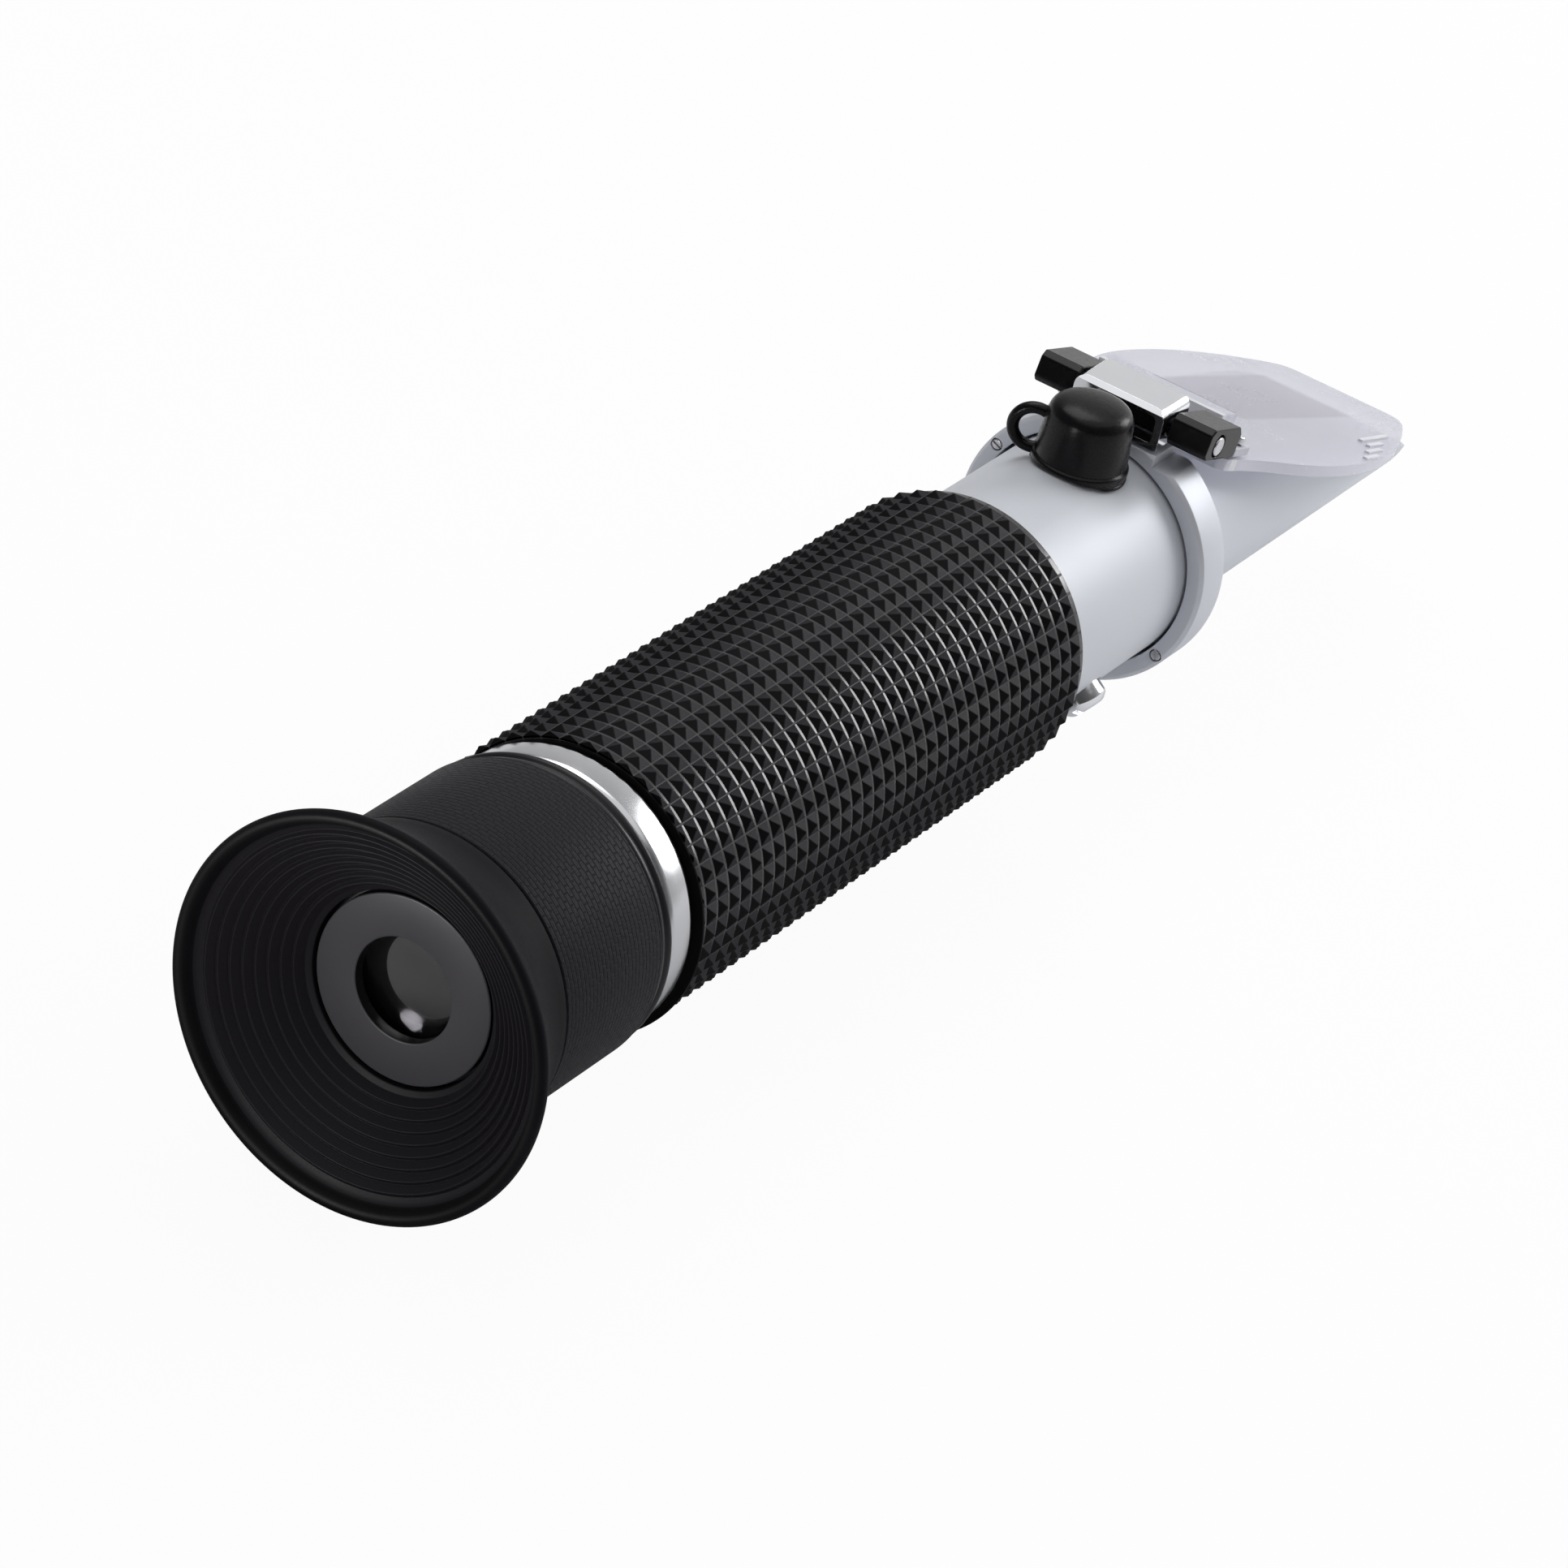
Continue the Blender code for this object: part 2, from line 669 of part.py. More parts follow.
def make_compensator():
    block_top = strip_bottom - gap
    hole = Matrix.Translation((0, clamp_station, strip_bottom))
    bm = block_mesh((-block_half_width, block_half_width), (block_start, block_end),
                    (block_bottom, block_top))
    block = black_metal(finish_object("bimetal_block", bm, (0, clamp_station, 0), flat=True))
    strip_top = strip_bottom + strip_thickness
    bm = block_mesh((-strip_half_width, strip_half_width), (strip_start, strip_end),
                    (strip_bottom, strip_top))
    strip = brass(finish_object("bimetal_strip", bm, (0, clamp_station, 0), flat=True))
    bore = clamp_shank_radius + gap
    boolean(strip, round_cutter("strip_hole", bore, -strip_thickness, 2 * strip_thickness, hole))
    boolean(block, round_cutter("block_hole", bore, -clamp_depth, strip_thickness, hole))
    head_bottom = strip_top + gap
    head_top = head_bottom + clamp_head_height
    shank_end = strip_bottom - clamp_depth + gap
    outline = [(0, head_top), (clamp_head_radius, head_top), (clamp_head_radius, head_bottom),
               (clamp_shank_radius, head_bottom), (clamp_shank_radius, shank_end), (0, shank_end)]
    bm = turned(outline, small_step_count, along="Z", closed=False)
    moved_mesh(bm, Matrix.Translation((0, clamp_station, 0)))
    steel(finish_object("bimetal_screw", bm, (0, clamp_station, 0)))


def make_objective():
    outline = [(carrier_hole, carrier_start), (carrier_outer, carrier_start), (carrier_outer, carrier_end),
               (carrier_seat_radius, carrier_end), (carrier_seat_radius, carrier_seat_start),
               (carrier_hole, carrier_seat_start)]
    bm = turned(outline, inner_step_count)
    black_metal(finish_object("objective_carrier", bm, (0, carrier_start, 0)))
    lens("objective_lens", objective_radius, objective_rim_start, objective_rim_end, objective_front_sag,
         objective_back_sag)
    tube_ring("objective_ring", objective_ring_inner, objective_radius, objective_ring_start,
              objective_ring_end, black_metal)


def prism_side(grow):
    """Side outline of the prism, grown by a clearance; the grown one reaches above the face."""
    lift = seal_recess if grow > 0 else 0
    near_s, near_h = on_slope(prism_near - grow, face_level + lift)
    far_s, far_h = on_slope(prism_far + grow, face_level + lift)
    near_s = on_slope(prism_near, face_level)[0] - grow
    floor = prism_floor - grow
    return [(near_s, near_h), (far_s, far_h), (far_s - prism_toe, floor), (near_s, floor)]


def make_housing():
    flange_rim = flange_radius - flange_chamfer
    outline = [(0, housing_end), (housing_radius - housing_round, housing_end),
               (housing_radius, housing_end - housing_round), (housing_radius, flange_end),
               (flange_rim, flange_end), (flange_radius, flange_end - flange_chamfer),
               (flange_radius, flange_start + flange_chamfer), (flange_rim, flange_start),
               (flange_bore, flange_start), (flange_bore, flange_bore_end), (light_bore, flange_bore_end),
               (light_bore, light_bore_end), (light_slot, light_bore_end), (light_slot, light_slot_end),
               (0, light_slot_end)]
    bm = turned(outline, outer_step_count, closed=False)
    housing = satin_silver(finish_object("prism_housing", bm, (0, flange_start, 0)))
    base_s, base_h = on_slope(0, face_level)
    rise = base_h - (face_cut_start - base_s) * math.tan(plate_slope)
    far = total_length + cutter_reach
    fall = rise - (far - face_cut_start) * math.tan(plate_slope)
    wedge = [(face_cut_start, rise), (far, fall), (far, cutter_reach), (face_cut_start, cutter_reach)]
    boolean(housing, as_cutter("slope_cut", slab_mesh(wedge, cutter_reach)))
    across = (flange_start - gap, flange_end + gap)
    seat = block_mesh((-cutter_reach, cutter_reach), across, (bracket_seat, cutter_reach))
    boolean(housing, as_cutter("seat_cut", seat))
    relief_inner = arm_inner - gap / 2
    for name, side in (("left_relief", -1), ("right_relief", 1)):
        span = sorted((side * relief_inner, side * cutter_reach))
        boolean(housing, as_cutter(name, block_mesh(span, across, (arm_relief, cutter_reach))))
    boolean(housing, as_cutter("prism_pocket", slab_mesh(prism_side(gap), prism_half_width + gap)))
    margin = seal_width + 2 * gap
    recess = block_mesh((-prism_half_width - margin, prism_half_width + margin),
                        (prism_near - margin, prism_far + margin),
                        (face_level - seal_recess, face_level + seal_recess))
    boolean(housing, as_cutter("seal_recess", moved_mesh(recess, slope_matrix())))
    for number, angle in enumerate(flange_screw_angles, 1):
        cutter = round_cutter("flange_pocket_%d" % number, flange_screw_pocket, -flange_screw_depth,
                              flange_screw_depth, flange_screw_matrix(angle))
        boolean(housing, cutter)


def flange_screw_matrix(angle):
    """Frame of a flange screw: z points out of the near face, toward the eyepiece."""
    a = math.radians(angle)
    x, h = flange_screw_circle * math.cos(a), flange_screw_circle * math.sin(a)
    return Matrix.Translation((x, flange_start, h)) @ Matrix.Rotation(math.pi / 2, 4, "X")


def make_flange_screws():
    for number, angle in enumerate(flange_screw_angles, 1):
        start = gap - flange_screw_depth
        end = start + flange_screw_length
        outline = [(0, end), (flange_screw_radius, end), (flange_screw_radius, start), (0, start)]
        bm = turned(outline, small_step_count, along="Z", closed=False)
        moved_mesh(bm, flange_screw_matrix(angle))
        origin = flange_screw_matrix(angle).translation
        steel(finish_object("flange_screw_%d" % number, bm, origin))


def make_prism():
    bm = slab_mesh(prism_side(0), prism_half_width, prism_edge)
    s, h = on_slope((prism_near + prism_far) / 2, face_level)
    clear_glass(finish_object("measuring_prism", bm, (0, s, h), flat=True))


def make_seal():
    inner_half = prism_half_width + gap
    outer_half = inner_half + seal_width
    near = prism_near - gap
    far = prism_far + gap
    top = face_level - gap
    bm = bmesh.new()
    inner = [(-inner_half, near), (inner_half, near), (inner_half, far), (-inner_half, far)]
    outer = [(-outer_half, near - seal_width), (outer_half, near - seal_width),
             (outer_half, far + seal_width), (-outer_half, far + seal_width)]
    inner_verts = [bm.verts.new((x, u, top)) for x, u in inner]
    outer_verts = [bm.verts.new((x, u, top)) for x, u in outer]
    faces = []
    for index in range(len(inner)):
        after = (index + 1) % len(inner)
        corners = (inner_verts[index], outer_verts[index], outer_verts[after], inner_verts[after])
        faces.append(bm.faces.new(corners))
    extrude(bm, faces, (0, 0, -seal_depth))
    moved_mesh(bm, slope_matrix())
    s, h = on_slope((near + far) / 2, face_level)
    black_rubber(finish_object("prism_seal", bm, (0, s, h), flat=True))


def pin_hole(name, radius):
    turn = Matrix.Translation((0, pin_station, pin_height)) @ Matrix.Rotation(math.pi / 2, 4, "Y")
    return round_cutter(name, radius, -cutter_reach, cutter_reach, turn)


def make_bracket(hole):
    bm = block_mesh((-bracket_half_width, bracket_half_width), (bracket_start, bracket_end),
                    (bracket_bottom, bracket_top), bracket_bevel)
    bracket = chrome(finish_object("hinge_bracket", bm, (0, bracket_start, bracket_bottom), flat=True))
    window = block_mesh((-bracket_half_width + bracket_wall, bracket_half_width - bracket_wall),
                        (bracket_start - cutter_reach, bracket_end + cutter_reach),
                        (bracket_bottom + bracket_floor, bracket_top - bracket_wall))
    boolean(bracket, as_cutter("bracket_window", window))
    boolean(bracket, hole)
    inside = bracket_half_width - bracket_wall - gap
    bm = block_mesh((-inside, inside), (insert_start, insert_end),
                    (bracket_bottom + bracket_floor + gap, bracket_top - bracket_wall - gap))
    insert = black_plastic(finish_object("hinge_insert", bm, (0, insert_start, pin_height), flat=True))
    boolean(insert, hole)


def make_hinge_pin():
    edge = gap / 2
    end = pin_half_length
    outline = [(0, -end), (pin_radius - edge, -end), (pin_radius, -end + edge), (pin_radius, end - edge),
               (pin_radius - edge, end), (0, end)]
    bm = turned(outline, small_step_count, along="Z", closed=False)
    moved_mesh(bm, Matrix.Translation((0, pin_station, pin_height)) @ Matrix.Rotation(math.pi / 2, 4, "Y"))
    steel(finish_object("hinge_pin", bm, (0, pin_station, pin_height)))


def make_hinge_arm(name, side, hole):
    near, far = sorted((side * arm_inner, side * arm_outer))
    bm = block_mesh((near, far), (arm_back, arm_front), (arm_low, arm_high), arm_bevel)
    moved_mesh(bm, slope_matrix())
    arm = black_plastic(finish_object(name, bm, (0, pin_station, pin_height), flat=True))
    near, far = sorted((side * tongue_inner, side * arm_outer))
    bm = block_mesh((near, far), (0, tongue_end), (arm_low, arm_low + tongue_thickness))
    boolean(arm, as_cutter(name + "_tongue", moved_mesh(bm, slope_matrix())), "UNION")
    boolean(arm, hole)
    place = slope_matrix() @ Matrix.Translation((side * plate_screw_offset, plate_screw_distance, arm_low))
    boolean(arm, round_cutter(name + "_hole", plate_screw_shank + gap, -gap, tongue_thickness + gap, place))


def make_plate():
    span = plate_length - plate_near
    half = [(plate_half_width * x, plate_near + span * u) for x, u in plate_shares]
    outline = half + [(-x, u) for x, u in reversed(half)]
    bm = bmesh.new()
    face = bm.faces.new([bm.verts.new((x, u, plate_bottom)) for x, u in outline])
    extrude(bm, [face], (0, 0, plate_thickness))
    rims = [e for e in bm.edges if all(v.co.z > plate_bottom + tiny for v in e.verts)]
    bmesh.ops.bevel(bm, geom=rims, offset=plate_edge, offset_type="OFFSET", segments=2, profile=0.5,
                    affect="EDGES")
    moved_mesh(bm, slope_matrix())
    plate = finish_object("daylight_plate", bm, (0, pin_station, pin_height))
    material(plate, (0.8, 0.8, 0.86), 0.0, 0.25, alpha=0.85)
    ledge = block_mesh((-ledge_half_length, ledge_half_length), (ledge_near, ledge_far),
                       (ledge_root, arm_high), ledge_bevel)
    boolean(plate, as_cutter("plate_ledge", moved_mesh(ledge, slope_matrix())), "UNION")
    for side in (-1, 1):
        place = slope_matrix() @ Matrix.Translation((side * plate_screw_offset, plate_screw_distance, 0))
        cutter = round_cutter("plate_hole_%d" % (side + 1), plate_screw_shank + gap, -cutter_reach,
                              cutter_reach, place)
        boolean(plate, cutter)


def make_plate_screws():
    low = arm_low + tongue_thickness + gap
    high = low + plate_screw_head_height
    for name, side in (("plate_screw_left", -1), ("plate_screw_right", 1)):
        outline = [(0, high), (plate_screw_head - gap / 2, high), (plate_screw_head, high - gap / 2),
                   (plate_screw_head, low), (plate_screw_shank, low), (plate_screw_shank, plate_screw_end),
                   (0, plate_screw_end)]
        bm = turned(outline, small_step_count, along="Z", closed=False)
        place = slope_matrix() @ Matrix.Translation((side * plate_screw_offset, plate_screw_distance, 0))
        moved_mesh(bm, place)
        steel(finish_object(name, bm, (0, pin_station, pin_height)))


def make_calibration():
    upright = Matrix.Translation((0, cap_station, 0))
    outline = [(bush_bore, bush_bottom), (bush_radius, bush_bottom), (bush_radius, bush_top - bush_edge),
               (bush_radius - bush_edge, bush_top), (bush_bore, bush_top)]
    bm = moved_mesh(turned(outline, inner_step_count, along="Z"), upright)
    steel(finish_object("calibration_bush", bm, (0, cap_station, bush_bottom)))
    outline = [(0, screw_top), (screw_radius, screw_top), (screw_radius, screw_bottom), (0, screw_bottom)]
    bm = moved_mesh(turned(outline, small_step_count, along="Z", closed=False), upright)
    screw = brass(finish_object("calibration_screw", bm, (0, cap_station, screw_bottom)))
    slot = block_mesh((-cutter_reach, cutter_reach),
                      (cap_station - screw_slot_width / 2, cap_station + screw_slot_width / 2),
                      (screw_top - screw_slot_depth, screw_top + screw_slot_depth))
    boolean(screw, as_cutter("screw_slot", slot))


def make_cap():
    upright = Matrix.Translation((0, cap_station, 0))
    outline = [(0, cap_bottom)] + [(cap_radius * r, cap_bottom + cap_height * h) for r, h in cap_shares]
    bm = moved_mesh(turned(outline, inner_step_count, along="Z", closed=False), upright)
    cap = black_rubber(finish_object("calibration_cap", bm, (0, cap_station, bush_top)))
    section = []
    for index in range(loop_section_count):
        a = math.tau * index / loop_section_count
        section.append((loop_radius + loop_thickness * math.cos(a), loop_thickness * math.sin(a)))
    loop = turned(section, loop_step_count)
    moved_mesh(loop, Matrix.Translation((loop_centre_offset, 0, loop_centre_height)))
    moved_mesh(loop, upright @ Matrix.Rotation(loop_turn, 4, "Z"))
    boolean(cap, as_cutter("cap_loop", loop), "UNION")
    boolean(cap, round_cutter("cap_inside", cap_inner_radius, 0, cap_inner_top, upright, inner_step_count))
    saddle = turned([(0, flange_start - cutter_reach), (cap_saddle_radius, flange_start - cutter_reach),
                     (cap_saddle_radius, flange_start), (0, flange_start)], outer_step_count, closed=False)
    boolean(cap, as_cutter("cap_saddle", saddle))


def make_side_plug():
    outline = [(0, plug_bottom), (plug_radius, plug_bottom), (plug_radius, plug_shoulder),
               (plug_crown_radius, plug_top), (0, plug_top)]
    bm = moved_mesh(turned(outline, inner_step_count, along="Z", closed=False), plug_matrix())
    origin = plug_matrix() @ Vector((0, 0, plug_bottom))
    plug = steel(finish_object("side_plug", bm, origin))
    slot = block_mesh((-plug_slot_width / 2, plug_slot_width / 2), (-cutter_reach, cutter_reach),
                      (plug_top - plug_slot_depth, plug_top + plug_slot_depth))
    boolean(plug, as_cutter("plug_slot", moved_mesh(slot, plug_matrix())))


def clear_scene():
    for obj in list(bpy.data.objects):
        bpy.data.objects.remove(obj, do_unlink=True)


def main():
    clear_scene()
    make_eyecup()
    make_focus_sleeve()
    make_sleeve_cover()
    make_lens_group()
    make_main_tube()
    make_collar()
    make_grip()
    make_reticle()
    make_compensator()
    make_objective()
    make_housing()
    make_flange_screws()
    make_prism()
    make_seal()
    pin_clearance = pin_hole("pin_clearance", pin_radius + gap)
    make_bracket(pin_clearance)
    make_hinge_pin()
    make_hinge_arm("left_hinge_arm", -1, pin_clearance)
    make_hinge_arm("right_hinge_arm", 1, pin_clearance)
    make_plate()
    make_plate_screws()
    make_calibration()
    make_cap()
    make_side_plug()


main()
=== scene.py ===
import json
import math

import bmesh
import bpy
from mathutils import Matrix, Vector


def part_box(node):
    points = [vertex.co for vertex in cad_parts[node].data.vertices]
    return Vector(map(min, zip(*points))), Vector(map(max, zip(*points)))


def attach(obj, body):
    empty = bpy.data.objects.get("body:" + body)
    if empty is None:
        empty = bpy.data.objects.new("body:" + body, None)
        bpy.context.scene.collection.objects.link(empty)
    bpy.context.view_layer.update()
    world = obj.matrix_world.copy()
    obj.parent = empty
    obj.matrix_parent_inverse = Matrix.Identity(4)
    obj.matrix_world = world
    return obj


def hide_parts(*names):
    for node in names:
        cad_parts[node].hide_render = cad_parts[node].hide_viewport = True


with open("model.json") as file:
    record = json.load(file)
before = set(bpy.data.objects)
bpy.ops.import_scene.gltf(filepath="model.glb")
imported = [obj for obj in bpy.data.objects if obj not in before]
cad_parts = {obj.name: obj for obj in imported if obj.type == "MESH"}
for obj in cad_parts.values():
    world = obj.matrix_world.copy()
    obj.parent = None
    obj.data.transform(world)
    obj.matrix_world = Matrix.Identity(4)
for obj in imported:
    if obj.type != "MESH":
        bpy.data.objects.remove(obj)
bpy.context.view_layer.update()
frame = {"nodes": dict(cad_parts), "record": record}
print("frame loaded,", len(frame["nodes"]), "nodes")

mm = 0.001
gap = 0.3 * mm  # between neighbouring pieces, as in the CAD
beyond = 40 * mm  # how far a cutter reaches past what it cuts
clear = 1 * mm  # the same, where it starts at the piece's own face
record = frame["record"]
bodyOf = {node: body for body, nodes in record["behaviour"]["bodies"].items() for node in nodes}


# Sizes that come from the frame

def spanY(node):
    low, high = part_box(node)
    return low.y, high.y


def middle(node):
    low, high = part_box(node)
    return (low + high) / 2


def radiusOf(node):
    low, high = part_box(node)
    return (high.x - low.x) / 2


axisZ = middle("main_tube").z
pinY, pinZ = middle("hinge_pin").y, middle("hinge_pin").z
capY = middle("calibration_screw").y
tubeBore = radiusOf("main_tube") + gap
plateSlope = math.radians(16)

# z runs along the barrel; y down the plate's slope and z out of it; z along the hinge pin
barrelFrame = Matrix.Translation((0, 0, axisZ)) @ Matrix.Rotation(-math.pi / 2, 4, "X")
slopeFrame = Matrix.Translation((0, pinY, pinZ)) @ Matrix.Rotation(-plateSlope, 4, "X")
pinFrame = Matrix.Translation((0, pinY, pinZ)) @ Matrix.Rotation(math.pi / 2, 4, "Y")


# Shader maths: a wrapped socket with the operators in use, and one method that adds any node

class Wire:
    def __init__(self, owner, socket):
        self.owner = owner
        self.socket = socket

    def math(self, operation, first, second):
        return self.owner.node("ShaderNodeMath", {"operation": operation}, {0: first, 1: second})

    def __add__(self, other):
        return self.math("ADD", self, other)

    def __radd__(self, other):
        return self.math("ADD", other, self)

    def __sub__(self, other):
        return self.math("SUBTRACT", self, other)

    def __rsub__(self, other):
        return self.math("SUBTRACT", other, self)

    def __mul__(self, other):
        return self.math("MULTIPLY", self, other)

    def __truediv__(self, other):
        return self.math("DIVIDE", self, other)

    def __pow__(self, other):
        return self.math("POWER", self, other)

    def __gt__(self, other):
        return self.math("GREATER_THAN", self, other)

    def __lt__(self, other):
        return self.math("LESS_THAN", self, other)


class Nodes:
    def __init__(self, tree):
        self.tree = tree

    def feed(self, target, value):
        if isinstance(value, Wire):
            self.tree.links.new(value.socket, target)
        elif isinstance(value, tuple) and len(value) == 3 and len(target.default_value) == 4:
            target.default_value = (*value, 1)
        else:
            target.default_value = value

    def node(self, kind, settings=None, sockets=None, out=0):
        made = self.tree.nodes.new(kind)
        for name, value in (settings or {}).items():
            if name == "stops":
                ramp = made.color_ramp
                while len(ramp.elements) < len(value):
                    ramp.elements.new(0.5)
                for element, (position, level) in zip(ramp.elements, value):
                    element.position = position
                    element.color = (level, level, level, 1)
            else:
                setattr(made, name, value)
        for name, value in (sockets or {}).items():
            self.feed(made.inputs[name], value)
        return Wire(self, made.outputs[out])

    def outputs(self, kind, *names):
        made = self.tree.nodes.new(kind)
        return [Wire(self, made.outputs[name]) for name in names]

    def split(self, vector):
        made = self.node("ShaderNodeSeparateXYZ", None, {0: vector}).socket.node
        return [Wire(self, part) for part in made.outputs]

    def ramp(self, value, stops):
        return self.node("ShaderNodeValToRGB", {"stops": stops}, {0: value})


class Finish(Nodes):
    def __init__(self, name, **constants):
        self.material = bpy.data.materials.new(name)
        self.material.use_nodes = True
        super().__init__(self.material.node_tree)
        self.shader = self.tree.nodes["Principled BSDF"]
        self.set(**constants)
        self.place = self.node("ShaderNodeTexCoord", out="Object")

    def set(self, **values):
        for name, value in values.items():
            self.feed(self.shader.inputs[name.replace("_", " ")], value)

    def mix(self, share, first, second):
        return self.node("ShaderNodeMix", {"data_type": "RGBA"}, {0: share, 6: first, 7: second}, out=2)

    def noise(self, size, detail=2.0, roughness=0.5, stretch=None):
        vector = self.place
        if stretch:
            vector = self.node("ShaderNodeMapping", None, {"Vector": vector, "Scale": stretch})
        return self.node("ShaderNodeTexNoise", None, {"Vector": vector, "Scale": 1 / size, "Detail": detail,
                                                      "Roughness": roughness})

    def between(self, value, low, high, soft):
        # 1 from low to high, fading out over soft on each side
        rise = self.node("ShaderNodeMapRange", None, {0: value, 1: low - soft, 2: low + soft})
        fall = self.node("ShaderNodeMapRange", None, {0: value, 1: high - soft, 2: high + soft})
        return rise * (1 - fall)

    def facing(self, way, low, high):
        # 0 to 1 as the surface turns towards a direction of the part
        normal = self.node("ShaderNodeTexCoord", out="Normal")
        share = self.node("ShaderNodeVectorMath", {"operation": "DOT_PRODUCT"}, {0: normal, 1: way}, out=1)
        return self.node("ShaderNodeMapRange", None, {0: share, 1: low, 2: high})

    def bump(self, height, depth, strength):
        return self.node("ShaderNodeBump", None, {"Height": height, "Distance": depth, "Strength": strength})

    def unrolled(self, radius):
        # round the barrel in metres, along it in metres
        x, y, z = self.split(self.place)
        around = self.node("ShaderNodeMath", {"operation": "ARCTAN2"}, {0: z - axisZ, 1: x}) * radius
        return around, y

    def vector(self, x, y, z=0.0):
        return self.node("ShaderNodeCombineXYZ", None, {0: x, 1: y, 2: z})


# Mesh helpers

flowPercent = 46  # how far a flowing corner reaches along its edges


def outlined(points, place):
    # one n-gon from (a, b, rounding) points; "flow" rounds a corner as far as its edges allow
    bm = bmesh.new()
    verts = [bm.verts.new(place(p[0], p[1])) for p in points]
    bm.faces.new(verts)
    groups = {}
    for vert, point in zip(verts, points):
        if len(point) > 2 and point[2]:
            groups.setdefault(point[2], []).append(vert)
    for rounding in sorted(groups, key=lambda r: r != "flow"):
        offset, kind = (flowPercent, "PERCENT") if rounding == "flow" else (rounding, "OFFSET")
        bmesh.ops.bevel(bm, geom=groups[rounding], offset=offset, offset_type=kind, segments=4, profile=0.5,
                        affect="VERTICES", material=-1, clamp_overlap=True)
    return bm


def lathe(points, steps, place=barrelFrame):
    # points are (radius, station, rounding); the shape turns about the frame's z
    bm = outlined(points, lambda r, s: (r, 0, s))
    bmesh.ops.delete(bm, geom=bm.faces[:], context="FACES_ONLY")
    onAxis = [e for e in bm.edges if all(abs(v.co.x) < 1e-7 for v in e.verts)]
    bmesh.ops.delete(bm, geom=onAxis, context="EDGES_FACES")
    bmesh.ops.spin(bm, geom=bm.verts[:] + bm.edges[:], cent=(0, 0, 0), axis=(0, 0, 1), angle=math.tau,
                   steps=steps, use_merge=True)
    bmesh.ops.transform(bm, matrix=place, verts=bm.verts)
    return tidied(bm)


def tidied(bm):
    bmesh.ops.remove_doubles(bm, verts=bm.verts, dist=2e-7)
    bmesh.ops.recalc_face_normals(bm, faces=bm.faces)
    return bm


def slab(points, low, high, place=Matrix.Identity(4), along="x"):
    # an outline of (a, b, rounding) points pushed through from low to high
    across = {"x": lambda a, b: (low, a, b), "y": lambda a, b: (a, low, b), "z": lambda a, b: (a, b, low)}
    way = {"x": (high - low, 0, 0), "y": (0, high - low, 0), "z": (0, 0, high - low)}[along]
    bm = outlined(points, across[along])
    moved = bmesh.ops.extrude_face_region(bm, geom=bm.faces[:])["geom"]
    bmesh.ops.translate(bm, vec=way, verts=[v for v in moved if isinstance(v, bmesh.types.BMVert)])
    bmesh.ops.transform(bm, matrix=place, verts=bm.verts)
    return tidied(bm)


def block(xSpan, ySpan, zSpan, place=Matrix.Identity(4)):
    return slab([(ySpan[0], zSpan[0]), (ySpan[1], zSpan[0]), (ySpan[1], zSpan[1]), (ySpan[0], zSpan[1])],
                xSpan[0], xSpan[1], place)


def rod(radius, low, high, place, steps=48):
    return lathe([(0, low), (radius, low), (radius, high), (0, high)], steps, place)


def slotCutter(width, low, high, place, turn=0):
    # a straight slot across a screw's head
    return block((-beyond, beyond), (-width / 2, width / 2), (low, high),
                 place @ Matrix.Rotation(math.radians(turn), 4, "Z"))


def asObject(name, bm):
    mesh = bpy.data.meshes.new(name)
    bm.to_mesh(mesh)
    bm.free()
    obj = bpy.data.objects.new(name, mesh)
    bpy.context.scene.collection.objects.link(obj)
    return obj


def carved(bm, *tools, operation="DIFFERENCE"):
    body = asObject("carving", bm)
    cutters = [asObject("cutter", tool) for tool in tools]
    for cutter in cutters:
        modifier = body.modifiers.new("cut", "BOOLEAN")
        modifier.operation = operation
        modifier.solver = "EXACT"
        modifier.object = cutter
    bpy.context.view_layer.update()
    result = bmesh.new()
    result.from_object(body, bpy.context.evaluated_depsgraph_get())
    for obj in [body, *cutters]:
        bpy.data.meshes.remove(obj.data)
    return result


def addPiece(name, bm, finish, *nodes, edge=0.0, segments=2, smooth=40, corner=34, flat=False):
    # the piece rides on its first node's body
    obj = asObject(name, bm)
    if not flat:
        obj.data.shade_smooth()
        obj.data.set_sharp_from_angle(angle=math.radians(smooth))
    if edge:
        modifier = obj.modifiers.new("edge", "BEVEL")
        modifier.width = edge
        modifier.segments = segments
        modifier.limit_method = "ANGLE"
        modifier.angle_limit = math.radians(corner)
        modifier.harden_normals = not flat
    obj.data.materials.append(finish.material)
    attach(obj, bodyOf[nodes[0]])
    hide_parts(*nodes)


# Finishes

def rubberFinish(name, colour, dust, roughness, grain=0.16 * mm, depth=0.012 * mm, gloss=0.25, near=None,
                 reach=1.0):
    # near is painted light and shade: the colour given to the faces that look back along the barrel, out to a
    # radius of reach, lighter or darker than the rest for how the light falls on them
    finish = Finish(name, Specular_IOR_Level=gloss)
    broad = finish.noise(6 * mm, 3.0)
    fine = finish.noise(grain, 3.0, 0.6)
    shade = finish.mix(finish.ramp(broad, [(0.35, 0.0), (0.75, 1.0)]), colour, dust)
    if near:
        x, _, z = finish.split(finish.place)
        radius = (x * x + (z - axisZ) * (z - axisZ)) ** 0.5
        # painted light and shade: the faces looking back along the barrel take the near colour
        shade = finish.mix(finish.facing((0, -1, 0), 0.15, 0.4) * (radius < reach), shade, near)
    finish.set(Base_Color=shade,
               Roughness=roughness + (fine - 0.5) * 0.16 + (broad - 0.5) * 0.1,
               Normal=finish.bump(fine, depth, 0.6))
    return finish


